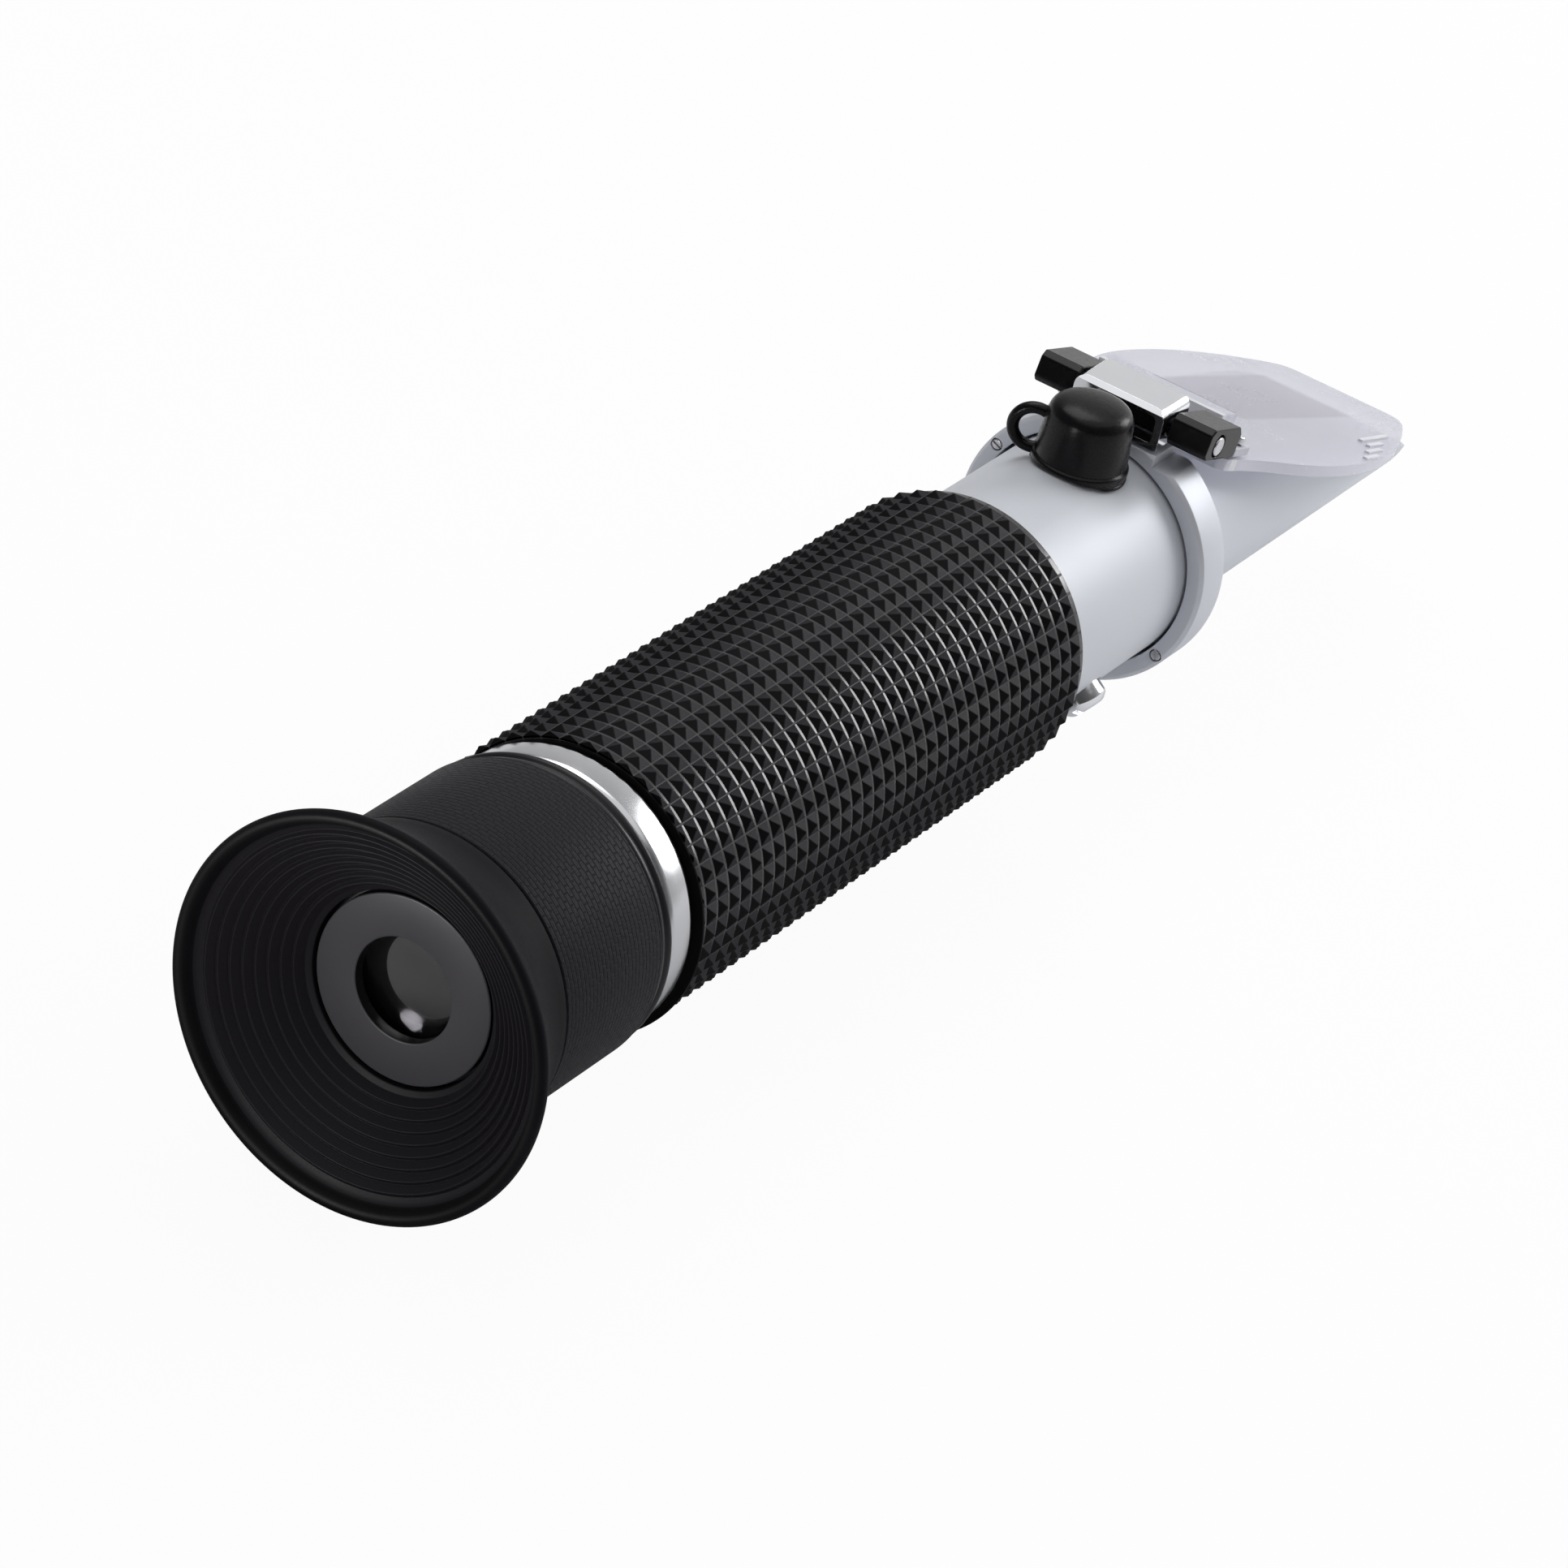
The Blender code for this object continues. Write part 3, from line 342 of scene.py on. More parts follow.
def satinFinish(name, colour, shade, roughness, metallic):
    finish = Finish(name, Metallic=metallic)
    broad = finish.noise(14 * mm, 2.0)
    fine = finish.noise(0.09 * mm, 4.0, 0.65)
    smudge = finish.noise(5 * mm, 5.0, 0.6)
    finish.set(Base_Color=finish.mix(broad, colour, shade),
               Roughness=roughness + (fine - 0.5) * 0.06 + (smudge - 0.5) * 0.1,
               Normal=finish.bump(fine, 0.0025 * mm, 0.5))
    return finish


def chromeFinish(name, roughness, ripple=0.0, shade=1.0):
    finish = Finish(name, Metallic=1.0)
    dark = tuple(c * shade for c in (0.80, 0.81, 0.84))
    light = tuple(c * shade for c in (0.90, 0.905, 0.93))
    smudge = finish.noise(3.5 * mm, 5.0, 0.65)
    wave = finish.noise(2.2 * mm, 2.0)
    finish.set(Base_Color=finish.mix(smudge, dark, light),
               Roughness=roughness + finish.ramp(smudge, [(0.45, 0.0), (0.8, 1.0)]) * 0.09,
               Normal=finish.bump(wave, (0.01 + ripple) * mm, 0.35))
    return finish


def brushedFinish(name, colour, roughness):
    finish = Finish(name, Metallic=1.0)
    lines = finish.noise(0.35 * mm, 3.0, 0.6, stretch=(1, 1, 12))
    stain = finish.noise(1.4 * mm, 4.0)
    darker = tuple(c * 0.72 for c in colour)
    finish.set(Base_Color=finish.mix(finish.ramp(stain, [(0.4, 0.0), (0.8, 1.0)]), colour, darker),
               Roughness=roughness + (lines - 0.5) * 0.2,
               Normal=finish.bump(lines, 0.004 * mm, 0.5))
    return finish


def glossFinish(name, colour, roughness):
    finish = Finish(name, Specular_IOR_Level=0.18)
    wave = finish.noise(1.1 * mm, 2.0)
    wear = finish.noise(0.5 * mm, 5.0, 0.7)
    finish.set(Base_Color=finish.mix(wear, colour, tuple(c * 1.7 for c in colour)),
               Roughness=roughness + finish.ramp(wear, [(0.5, 0.0), (0.8, 1.0)]) * 0.14,
               Normal=finish.bump(wave, 0.02 * mm, 0.4))
    return finish


def glassFinish(name, colour, **constants):
    finish = Finish(name, IOR=1.5, **{"Transmission_Weight": 1.0, **constants})
    film = finish.noise(4 * mm, 4.0, 0.6)
    finish.set(Base_Color=finish.mix(film, colour, tuple(c * 0.98 for c in colour)), Roughness=0.0)
    return finish


def weaveFinish(values):
    finish = Finish("wovenCover", Specular_IOR_Level=0.06)
    around, along = finish.unrolled(radiusOf("sleeve_cover"))
    sockets = {"Vector": finish.vector(around, along), "Scale": 1.0, "Mortar Size": values["gapWidth"],
               "Mortar Smooth": 1.0, "Brick Width": values["threadLength"], "Row Height": values["threadPitch"]}
    threads = 1 - finish.node("ShaderNodeTexBrick", {"offset": 0.5, "squash": 1.0}, sockets, out="Fac")
    uneven = finish.noise(0.35 * mm, 3.0, 0.6)
    patch = finish.noise(5 * mm, 3.0)
    height = threads * (0.55 + uneven * 0.9)
    shade = finish.mix(threads * (0.35 + uneven), values["valley"], values["thread"])
    finish.set(Base_Color=finish.mix(patch * 0.5, shade, values["dust"]),
               Roughness=values["roughness"] + (uneven - 0.5) * 0.2,
               Normal=finish.bump(height, values["depth"], 0.9))
    return finish


# painted light: the cup's faces that look back along the barrel, within 16.2 mm of the axis, are about three
# times lighter than the rest
cupRubber = rubberFinish("cupRubber", (0.0072, 0.0063, 0.0081), (0.010, 0.0089, 0.011), 0.55, gloss=0.04,
                         near=(0.025, 0.022, 0.0275), reach=16.2 * mm)
# painted shade: the pyramid faces that look back along the barrel are darker than the rest
gripRubber = rubberFinish("gripRubber", (0.0185, 0.0175, 0.021), (0.025, 0.0237, 0.028), 0.5,
                          grain=0.3 * mm, depth=0.008 * mm, gloss=0.08, near=(0.0045, 0.0042, 0.005))
# painted shade: the grip's hem is a much darker copy of the grip's rubber, so it reads as the shaded step by
# the collar
hemPaintedShadeRubber = rubberFinish("hemPaintedShadeRubber", (0.004, 0.0037, 0.0044), (0.006, 0.0055, 0.0066), 0.6, gloss=0.05)
capRubber = rubberFinish("capRubber", (0.0055, 0.0046, 0.0058), (0.0078, 0.0068, 0.0082), 0.27,
                         grain=0.5 * mm, depth=0.03 * mm, gloss=0.2)
# painted light: the retainer disc's faces that look back along the barrel are much lighter than the rest
discPlastic = rubberFinish("discPlastic", (0.006, 0.0055, 0.0065), (0.008, 0.0075, 0.0085), 0.45,
                           grain=0.12 * mm, depth=0.004 * mm, gloss=0.1, near=(0.108, 0.102, 0.116))
lipPlastic = rubberFinish("lipPlastic", (0.012, 0.011, 0.014), (0.020, 0.019, 0.023), 0.34)
insertPlastic = rubberFinish("insertPlastic", (0.008, 0.008, 0.009), (0.014, 0.013, 0.015), 0.3)
sealSilicone = rubberFinish("sealSilicone", (0.42, 0.42, 0.47), (0.50, 0.50, 0.55), 0.45)
hingeGloss = glossFinish("hingeGloss", (0.0045, 0.0042, 0.005), 0.18)
tonguePlastic = rubberFinish("tonguePlastic", (0.50, 0.505, 0.57), (0.58, 0.585, 0.65), 0.3)
satinSilver = satinFinish("satinSilver", (0.665, 0.69, 0.735), (0.64, 0.665, 0.715), 0.5, metallic=0.1)
flangeSilver = satinFinish("flangeSilver", (0.69, 0.71, 0.765), (0.64, 0.66, 0.72), 0.46, metallic=0.2)
collarChrome = chromeFinish("collarChrome", 0.2, shade=0.7)
bracketChrome = chromeFinish("bracketChrome", 0.1)
plugChrome = chromeFinish("plugChrome", 0.12, ripple=0.12)
screwSteel = brushedFinish("screwSteel", (0.62, 0.62, 0.65), 0.26)
bushSteel = brushedFinish("bushSteel", (0.55, 0.55, 0.57), 0.3)
plainBrass = brushedFinish("plainBrass", (0.75, 0.55, 0.25), 0.28)
anodised = satinFinish("anodised", (0.030, 0.030, 0.033), (0.045, 0.044, 0.048), 0.42, metallic=0.7)
clearGlass = glassFinish("clearGlass", (0.93, 0.96, 0.97))
# painted shade: the eye lens glass is tinted near black, darkening it as the shaded barrel behind would
coatedPaintedShadeGlass = glassFinish("coatedPaintedShadeGlass", (0.06, 0.058, 0.063), Transmission_Weight=0.75, Coat_Weight=1.0,
                          Coat_Roughness=0.1)
prismGlass = glassFinish("prismGlass", (0.62, 0.63, 0.72))
print("finishes made")


# Eyecup: soft flared cup with rings moulded inside

eyecup = {
    "steps": 168,
    "neckStep": 0.1 * mm,
    "neckRound": 0.1 * mm,
    "discSink": 0.1 * mm,
    "floorThickness": 1.3 * mm,
    "tailDepth": 0.9 * mm,
    "tailWall": 0.6 * mm,
    "ribCount": 9,
    "ribHeight": 0.34 * mm,
    "ribRise": 0.42,
    "ribMargin": 2.1 * mm,
    "ribDepth": 1.75 * mm,
    "ribEnd": 0.3 * mm,
    "ledge": 0.5 * mm,
    # shares of the way out from neck to rim, and back along the barrel from rim to neck
    "flare": [(0.0, 1.0), (0.07, 0.8), (0.24, 0.585), (0.51, 0.385), (0.83, 0.2), (0.975, 0.11), (1.0, 0.06),
              (0.95, 0.015), (0.865, 0.0), (0.77, 0.012), (0.705, 0.05), (0.635, 0.13)],
}


def buildEyecup(values):
    rimY, tailEnd = spanY("eyecup")
    neckY = spanY("sleeve_cover")[0] - gap
    rimR = radiusOf("eyecup")
    neckR = radiusOf("sleeve_cover") + values["neckStep"]
    holeR = radiusOf("lens_retainer") + gap
    floorY = spanY("lens_retainer")[0] - values["discSink"]
    backY = floorY + values["floorThickness"]
    tailR = neckR - values["tailDepth"]
    tailBore = tailR - values["tailWall"]
    cup = [(neckR + (rimR - neckR) * r, rimY + (neckY - rimY) * s, "flow") for r, s in values["flare"]]
    cup[0] = (neckR, neckY, values["neckRound"])
    firstR, lastR = rimR - values["ribMargin"], holeR + values["ledge"]
    firstY, lastY = rimY + values["ribDepth"], floorY - values["ribEnd"]
    pitch = (firstR - lastR) / (values["ribCount"] - 1)
    ribs = []
    for index in range(values["ribCount"]):
        share = index / (values["ribCount"] - 1)
        r, s = firstR - pitch * index, firstY + (lastY - firstY) * share
        ribs += [(r, s, 0.05 * mm), (r - pitch * values["ribRise"], s - values["ribHeight"], 0.12 * mm)]
    inside = [(holeR, floorY, 0.1 * mm), (holeR, backY), (tailBore, backY), (tailBore, tailEnd),
              (tailR, tailEnd), (tailR, neckY)]
    addPiece("eyecupRubber", lathe(cup + ribs[:-1] + inside, values["steps"]), cupRubber, "eyecup", smooth=50)


buildEyecup(eyecup)


# Lens retainer and eye lens

retainer = {
    "hole": 4.57 * mm,
    "edge": 0.12 * mm,
    "thickness": 1.2 * mm,
    "wall": 1 * mm,
    "steps": 128,
}


def buildRetainer(values):
    frontY, backY = spanY("lens_retainer")
    shoulderY = frontY + values["thickness"]
    outer = radiusOf("lens_retainer")
    lensR = radiusOf("eye_lens")
    bore = lensR - values["wall"]
    points = [(values["hole"], frontY, values["edge"]), (outer, frontY, 0.15 * mm), (outer, shoulderY),
              (lensR, shoulderY), (lensR, backY), (bore, backY), (bore, shoulderY),
              (values["hole"], shoulderY, values["edge"])]
    addPiece("lensRetainerDisc", lathe(points, values["steps"]), discPlastic, "lens_retainer")


def buildLens(name, node, finish, frontSag, backSag, steps, arcs):
    # each face is an arc that stands out by its sag
    startY, endY = spanY(node)
    radius = radiusOf(node)
    points = []
    for sag, baseY, way in ((frontSag, startY + frontSag, -1), (backSag, endY - backSag, 1)):
        curve = (radius ** 2 + sag ** 2) / (2 * sag)
        side = []
        for index in range(arcs + 1):
            r = radius * index / arcs
            side.append((r, baseY + way * (math.sqrt(curve ** 2 - r ** 2) - (curve - sag))))
        points += side if way < 0 else side[::-1]
    addPiece(name, lathe(points, steps), finish, node, smooth=30)


buildRetainer(retainer)
# the eye lens's glass carries painted shade, a near-black tint
buildLens("eyeLensGlass", "eye_lens", coatedPaintedShadeGlass, frontSag=1.75 * mm, backSag=1.3 * mm, steps=96, arcs=14)
buildLens("fieldLensGlass", "field_lens", clearGlass, frontSag=0.5 * mm, backSag=1.3 * mm, steps=64, arcs=8)
buildLens("objectiveLensGlass", "objective_lens", clearGlass, frontSag=0.9 * mm, backSag=0.9 * mm, steps=64,
          arcs=8)
print("eyecup and lenses made")


# Focus sleeve with its front lip, and the woven cover round it

sleeve = {
    "steps": 168,
    "seatDepth": 0.8 * mm,
    "noseDepth": 0.9 * mm,
    "webWidth": 5.1 * mm,
    "lipWidth": 1.75 * mm,
    "lipStep": 0.1 * mm,
    "lipGroove": 0.28 * mm,
}
cover = {
    "steps": 168,
    "edge": 0.14 * mm,
    "thickness": 0.5 * mm,
    "threadPitch": 0.53 * mm,
    "threadLength": 1.05 * mm,
    "gapWidth": 0.1 * mm,
    "depth": 0.05 * mm,
    "valley": (0.009, 0.0084, 0.0102),
    "thread": (0.021, 0.0197, 0.0240),
    "dust": (0.021, 0.0200, 0.0240),
    "roughness": 0.5,
}


def buildSleeve(values):
    backY, frontY = spanY("focus_sleeve")  # the eyecup's end and the collar's
    lip = radiusOf("focus_sleeve")
    seat = radiusOf("sleeve_cover") - values["seatDepth"]
    nose = seat - values["noseDepth"]
    cell = radiusOf("lens_cell") + gap
    noseEnd = spanY("eyecup")[1] + gap
    webEnd = backY + values["webWidth"]
    lipY = frontY - values["lipWidth"]
    lipLow = lip - values["lipStep"]
    mid = (lipY + frontY) / 2
    g = values["lipGroove"]
    points = [(cell, backY), (nose, backY), (nose, noseEnd), (seat, noseEnd), (seat, lipY),
              (lipLow, lipY, 0.3 * mm), (lipLow, mid - g, 0.2 * mm), (lip - g, mid, 0.06 * mm),
              (lip, mid + g, 0.2 * mm), (lip, frontY, 0.4 * mm), (tubeBore, frontY), (tubeBore, webEnd),
              (cell, webEnd)]
    addPiece("focusSleeveBody", lathe(points, values["steps"]), lipPlastic, "focus_sleeve")


def buildCover(values):
    startY, endY = spanY("sleeve_cover")
    outer = radiusOf("sleeve_cover")
    inner = outer - values["thickness"]
    edge = values["edge"]
    points = [(inner, startY), (outer, startY, edge), (outer, endY, edge), (inner, endY)]
    addPiece("sleeveCoverWeave", lathe(points, values["steps"]), weaveFinish(values), "sleeve_cover")


buildSleeve(sleeve)
buildCover(cover)


# Collar: polished ring with bevelled shoulders

collar = {"steps": 192, "shoulder": 0.6 * mm, "drop": 0.45 * mm}


def buildCollar(values):
    startY, endY = spanY("chrome_collar")
    outer = radiusOf("chrome_collar")
    low = outer - values["drop"]
    points = [(tubeBore, startY), (low, startY, 0.06 * mm), (outer, startY + values["shoulder"], 0.25 * mm),
              (outer, endY - values["shoulder"], 0.25 * mm), (low, endY, 0.06 * mm), (tubeBore, endY)]
    addPiece("collarRing", lathe(points, values["steps"]), collarChrome, "chrome_collar")


buildCollar(collar)


# Grip: rows of small pyramids on a rubber sleeve, cut off square at a hem by the collar

grip = {
    "steps": 176,
    "around": 44,
    "rows": 36,
    "firstRow": -0.6 * mm,
    "pitch": 1.8 * mm,
    "valleyRadius": 12.85 * mm,
    "height": 0.5 * mm,
    "sink": 0.15 * mm,
    "ridge": 0.045 * mm,
    "groove": 0.11 * mm,
    "grooveRatio": 2.2,
    "hemWidth": 0.25 * mm,
    "hemRadius": 12.95 * mm,
    "hemShift": (0.4 * mm, 0, -0.28 * mm),
    "farRadius": 12.75 * mm,
    "farWidth": 0.8 * mm,
    "floor": (0.012, 0.0113, 0.0135),
    "floorRoughness": 0.24,
    "dullWidth": 0.07,
    "dullRoughness": 0.4,
}


def grooveFinish(values):
    # the ring grooves shine, the long ones stay dull
    finish = Finish("gripGroove", Specular_IOR_Level=0.7)
    angle, _ = finish.unrolled(1.0)
    cell = math.tau / values["around"]
    fromLine = finish.node("ShaderNodeMath", {"operation": "PINGPONG"}, {0: angle / cell, 1: 0.5})
    dull = (fromLine < values["dullWidth"]) * values["dullRoughness"]
    fine = finish.noise(0.5 * mm, 3.0)
    finish.set(Base_Color=values["floor"], Roughness=values["floorRoughness"] + dull + (fine - 0.5) * 0.2)
    return finish


def buildGrip(values):
    startY, endY = spanY("grip_sleeve")
    hemEnd = startY + values["hemWidth"]
    hemR = values["hemRadius"]
    farStart = endY - values["farWidth"]
    valley = values["valleyRadius"]
    far = values["farRadius"]
    hem = [(tubeBore, startY), (hemR, startY, 0.1 * mm), (hemR, hemEnd), (tubeBore, hemEnd)]
    core = [(tubeBore, hemEnd), (valley, hemEnd), (valley, farStart), (far, farStart + 0.05 * mm, 0.1 * mm),
            (far, endY, 0.15 * mm), (tubeBore, endY)]
    hemPlace = Matrix.Translation(values["hemShift"]) @ barrelFrame
    # the hem wears painted shade: a darker copy of the grip's rubber
    addPiece("gripHem", lathe(hem, values["steps"], hemPlace), hemPaintedShadeRubber, "grip_sleeve")
    addPiece("gripCore", lathe(core, values["steps"]), grooveFinish(values), "grip_sleeve")
    arc = math.tau * valley / values["around"]
    stretch = values["grooveRatio"]  # the sheet is stretched while its grooves are cut, so they differ in width
    bm = bmesh.new()
    bmesh.ops.create_grid(bm, x_segments=values["around"], y_segments=values["rows"], size=0.5)
    sheetSize = (arc * values["around"] * stretch, values["pitch"] * values["rows"], 1)
    bmesh.ops.scale(bm, vec=sheetSize, verts=bm.verts)
    rims = bmesh.ops.inset_individual(bm, faces=bm.faces[:], thickness=values["groove"], use_even_offset=True)
    bmesh.ops.delete(bm, geom=rims["faces"], context="FACES")
    bmesh.ops.scale(bm, vec=(1 / stretch, 1, 1), verts=bm.verts)
    tips = bmesh.ops.poke(bm, faces=bm.faces[:], offset=values["height"], center_mode="MEAN")["verts"]
    ridges = list({e for v in tips for e in v.link_edges})
    bmesh.ops.bevel(bm, geom=ridges, offset=values["ridge"], offset_type="OFFSET", segments=1, profile=0.5,
                    affect="EDGES", material=-1)
    skirt = bmesh.ops.extrude_edge_only(bm, edges=[e for e in bm.edges if e.is_boundary])["geom"]
    feet = [v for v in skirt if isinstance(v, bmesh.types.BMVert)]
    bmesh.ops.translate(bm, vec=(0, 0, -values["sink"]), verts=feet)
    bmesh.ops.holes_fill(bm, edges=[e for e in bm.edges if e.is_boundary], sides=0)
    middleY = startY + values["firstRow"] + values["pitch"] * values["rows"] / 2
    for vert in bm.verts:  # the flat sheet is rolled round the barrel and cut at the hem
        angle = vert.co.x / valley
        radius = valley + vert.co.z
        y = min(max(vert.co.y + middleY, hemEnd), farStart)
        vert.co = (radius * math.sin(angle), y, axisZ + radius * math.cos(angle))
    addPiece("gripPyramids", tidied(bm), gripRubber, "grip_sleeve", flat=True)


buildGrip(grip)
print("sleeve, collar and grip made")


# Main tube with the holes for the bush and the side plug

tube = {
    "steps": 192,
    "wall": 1.2 * mm,
    "plugAngle": math.radians(-38),
    "plugHole": 2.42 * mm,
    "bushHole": 3.6 * mm,
}


def plugFrame():
    turn = Matrix.Rotation(math.pi / 2 - tube["plugAngle"], 4, "Y")
    return Matrix.Translation((0, middle("side_plug").y, axisZ)) @ turn


def buildTube(values):
    startY, endY = spanY("main_tube")
    outer = radiusOf("main_tube")
    inner = outer - values["wall"]
    points = [(inner, startY), (outer, startY, 0.15 * mm), (outer, endY, 0.15 * mm), (inner, endY)]
    upright = Matrix.Translation((0, capY, axisZ))
    holes = [rod(values["bushHole"], 0, beyond, upright), rod(values["plugHole"], 0, beyond, plugFrame())]
    addPiece("barrelTube", carved(lathe(points, values["steps"]), *holes), satinSilver, "main_tube")


buildTube(tube)


# Prism housing: flange ring, sloping face, recess and well for the prism

housing = {
    "steps": 192,
    "bodyRadius": 9.4 * mm,
    "endRound": 1.2 * mm,
    "chamfer": 0.35 * mm,
    "flangeWidth": 4.5 * mm,
    "faceLevel": -3.05 * mm,
    "seatHeight": 11.9 * mm,
    "seatHalf": 4.85 * mm,
    "reliefHeight": 10.78 * mm,
    "innerRadius": 7 * mm,
    "innerDepth": 3.9 * mm,
    "channelRadius": 4.2 * mm,
    "channelOverlap": 0.7 * mm,
    "wellHalf": 5.5 * mm,
    "wellFoot": 2.6 * mm,
    "wellStep": 8 * mm,
    "wellTop": 20 * mm,
    "recessHalf": 6.5 * mm,
    "recessSpan": (15.7 * mm, 43.3 * mm),
    "recessDepth": 1.6 * mm,
    "recessTop": 5 * mm,
    "screwPocket": 0.62 * mm,
    "screwDepth": 1.4 * mm,
    "edge": 0.1 * mm,
}


def buildHousing(values):
    startY, endY = spanY("prism_housing")
    flangeR = radiusOf("prism_housing")
    flangeEnd = startY + values["flangeWidth"]
    boreEnd = spanY("main_tube")[1] + gap
    innerEnd = flangeEnd + values["innerDepth"]
    prismLow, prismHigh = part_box("measuring_prism")
    channelEnd = prismLow.y + values["channelOverlap"]
    c = values["chamfer"]
    body, inner, channel = values["bodyRadius"], values["innerRadius"], values["channelRadius"]
    points = [(0, endY), (body, endY, values["endRound"]), (body, flangeEnd, 0.25 * mm),
              (flangeR - c, flangeEnd, 0.08 * mm), (flangeR, flangeEnd - c, 0.08 * mm),
              (flangeR, startY + c, 0.08 * mm), (flangeR - c, startY, 0.08 * mm), (tubeBore, startY, 0.06 * mm),
              (tubeBore, boreEnd), (inner, boreEnd), (inner, innerEnd), (channel, innerEnd),
              (channel, channelEnd), (0, channelEnd)]

    # the slope stops at the flange; the flange's top is a seat for the bracket with lower ground beside it
    slope = carved(block((-beyond, beyond), (0, 2 * beyond), (values["faceLevel"], beyond), slopeFrame),
                   block((-2 * beyond, 2 * beyond), (flangeEnd - 2 * beyond, flangeEnd + gap),
                         (-beyond, 2 * beyond)))
    flange = (startY - clear, flangeEnd + gap)
    relief = (axisZ + values["reliefHeight"], axisZ + beyond)
    cutters = [slope,
               block((-beyond, beyond), flange, (axisZ + values["seatHeight"], axisZ + beyond)),
               block((-beyond, -values["seatHalf"]), flange, relief),
               block((values["seatHalf"], beyond), flange, relief)]

    nearY, farY, footZ = prismLow.y - gap, prismHigh.y, prismLow.z - gap
    well = [(nearY, footZ), (farY - values["wellFoot"], footZ), (farY + gap, prismLow.z + values["wellStep"]),
            (nearY, prismLow.z + values["wellTop"])]
    cutters.append(slab(well, -values["wellHalf"], values["wellHalf"]))
    cutters.append(block((-values["recessHalf"], values["recessHalf"]), values["recessSpan"],
                         (values["faceLevel"] - values["recessDepth"], values["recessTop"]), slopeFrame))
    depth = values["screwDepth"]
    for node in ("flange_screw_1", "flange_screw_2"):
        x, _, z = middle(node)
        place = Matrix.Translation((x, startY, z)) @ Matrix.Rotation(math.pi / 2, 4, "X")
        cutters.append(rod(values["screwPocket"], -depth, depth, place, 32))
    bm = carved(lathe(points, values["steps"]), *cutters)
    addPiece("prismHousingBody", bm, flangeSilver, "prism_housing", edge=values["edge"])


buildHousing(housing)


# Small screws in the flange, side plug

screws = {"slot": 0.22 * mm, "depth": 0.2 * mm}


def buildFlangeScrew(name, node, turn):
    low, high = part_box(node)
    place = Matrix.Translation((middle(node).x, 0, middle(node).z)) @ Matrix.Rotation(-math.pi / 2, 4, "X")
    radius = radiusOf(node)
    bm = lathe([(0, low.y), (radius, low.y, 0.1 * mm), (radius, high.y), (0, high.y)], 40, place)
    slot = slotCutter(screws["slot"], low.y - clear, low.y + screws["depth"], place, turn)
    addPiece(name, carved(bm, slot), screwSteel, node)


buildFlangeScrew("flangeScrewUpper", "flange_screw_1", 25)
buildFlangeScrew("flangeScrewLower", "flange_screw_2", 70)

plug = {
    "radius": 2.2 * mm,
    "bottom": 10.0 * mm,
    "top": 12.55 * mm,
    "shoulder": (0.65 * mm, 0.62 * mm),
    "slot": 0.6 * mm,
    "slotDepth": 0.5 * mm,
}


def buildPlug(values):
    place = plugFrame()
    radius, bottom, top = values["radius"], values["bottom"], values["top"]
    inward, down = values["shoulder"]
    points = [(0, bottom), (radius, bottom), (radius, top - down, 0.2 * mm), (radius - inward, top, 0.3 * mm),
              (0, top)]
    slot = slotCutter(values["slot"], top - values["slotDepth"], top + clear, place, 90)
    addPiece("sidePlugCap", carved(lathe(points, 72, place), slot), plugChrome, "side_plug", edge=0.06 * mm)


buildPlug(plug)
print("tube, housing and plug made")


# Hinge: folded bracket with a thicker left wall in front, two faceted arms with light tongues, and the pin

bracket = {
    "corner": 1.05 * mm,
    "footRound": 0.3 * mm,
    "wall": 0.75 * mm,
    "floor": 0.6 * mm,
    "cheek": 2.0 * mm,
    "cheekDepth": 1.5 * mm,
    "windowTop": 0.5 * mm,
    "windowFoot": 0.25 * mm,
    "pinHole": 1.2 * mm,
    "edge": 0.12 * mm,
    "chamfer": 0.45 * mm,
}


def buildBracket(values):
    low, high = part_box("hinge_bracket")
    c, foot = values["corner"], values["footRound"]
    outer = slab([(low.x, low.z, foot), (high.x, low.z, foot), (high.x, high.z, c), (low.x, high.z, c)],
                 low.y, high.y, along="y")

    # the window is narrower in front than behind
    w, cheekEnd = values["wall"], low.y + values["cheekDepth"]
    floor, right, top = low.z + values["floor"], high.x - w, high.z - w
    topRound, footRound = values["windowTop"], values["windowFoot"]
    spans = ((low.x + values["cheek"], low.y - clear, cheekEnd), (low.x + w, cheekEnd - gap, high.y + clear))
    windows = [slab([(left, floor, footRound), (right, floor, footRound), (right, top, topRound),
                     (left, top, topRound)], start, end, along="y") for left, start, end in spans]
    half = values["chamfer"] / 2
    tilt = Matrix.Translation((0, low.y + half, high.z - half)) @ Matrix.Rotation(math.pi / 4, 4, "X")
    chamfer = block((-beyond, beyond), (-beyond, beyond), (0, beyond), tilt)
    bm = carved(outer, *windows, rod(values["pinHole"], -beyond, beyond, pinFrame), chamfer)
    addPiece("hingeBracketFold", bm, bracketChrome, "hinge_bracket", edge=values["edge"], segments=3)


plateScrew = {
    "place": 6.6 * mm,
    "hole": 0.75 * mm,
    "head": 0.95 * mm,
    "shank": 0.45 * mm,
    "top": 0.35 * mm,
    "under": -0.25 * mm,
    "end": -2.65 * mm,
    "slot": 0.28 * mm,
    "slotDepth": 0.28 * mm,
}
arm = {
    "bevel": 0.16 * mm,
    # millimetres down the slope and out of it, seen from the side
    "profile": [(-2.4, 1.1), (-1.85, 1.65), (3.9, 1.65), (4.6, 0.95), (4.6, -0.95), (4.2, -1.35), (-1.9, -1.35),
                (-2.4, -0.85)],
    "tongueStep": 0.5 * mm,
    "tongueEnd": 8.0 * mm,
    "tongueThickness": 0.8 * mm,
    "tongueBevel": 0.1 * mm,
    "pinHole": 1.1 * mm,
}


def screwFrame(node):
    return slopeFrame @ Matrix.Translation((middle(node).x, plateScrew["place"], 0))


def screwHole(node):
    return rod(plateScrew["hole"], -beyond, beyond, screwFrame(node), 32)


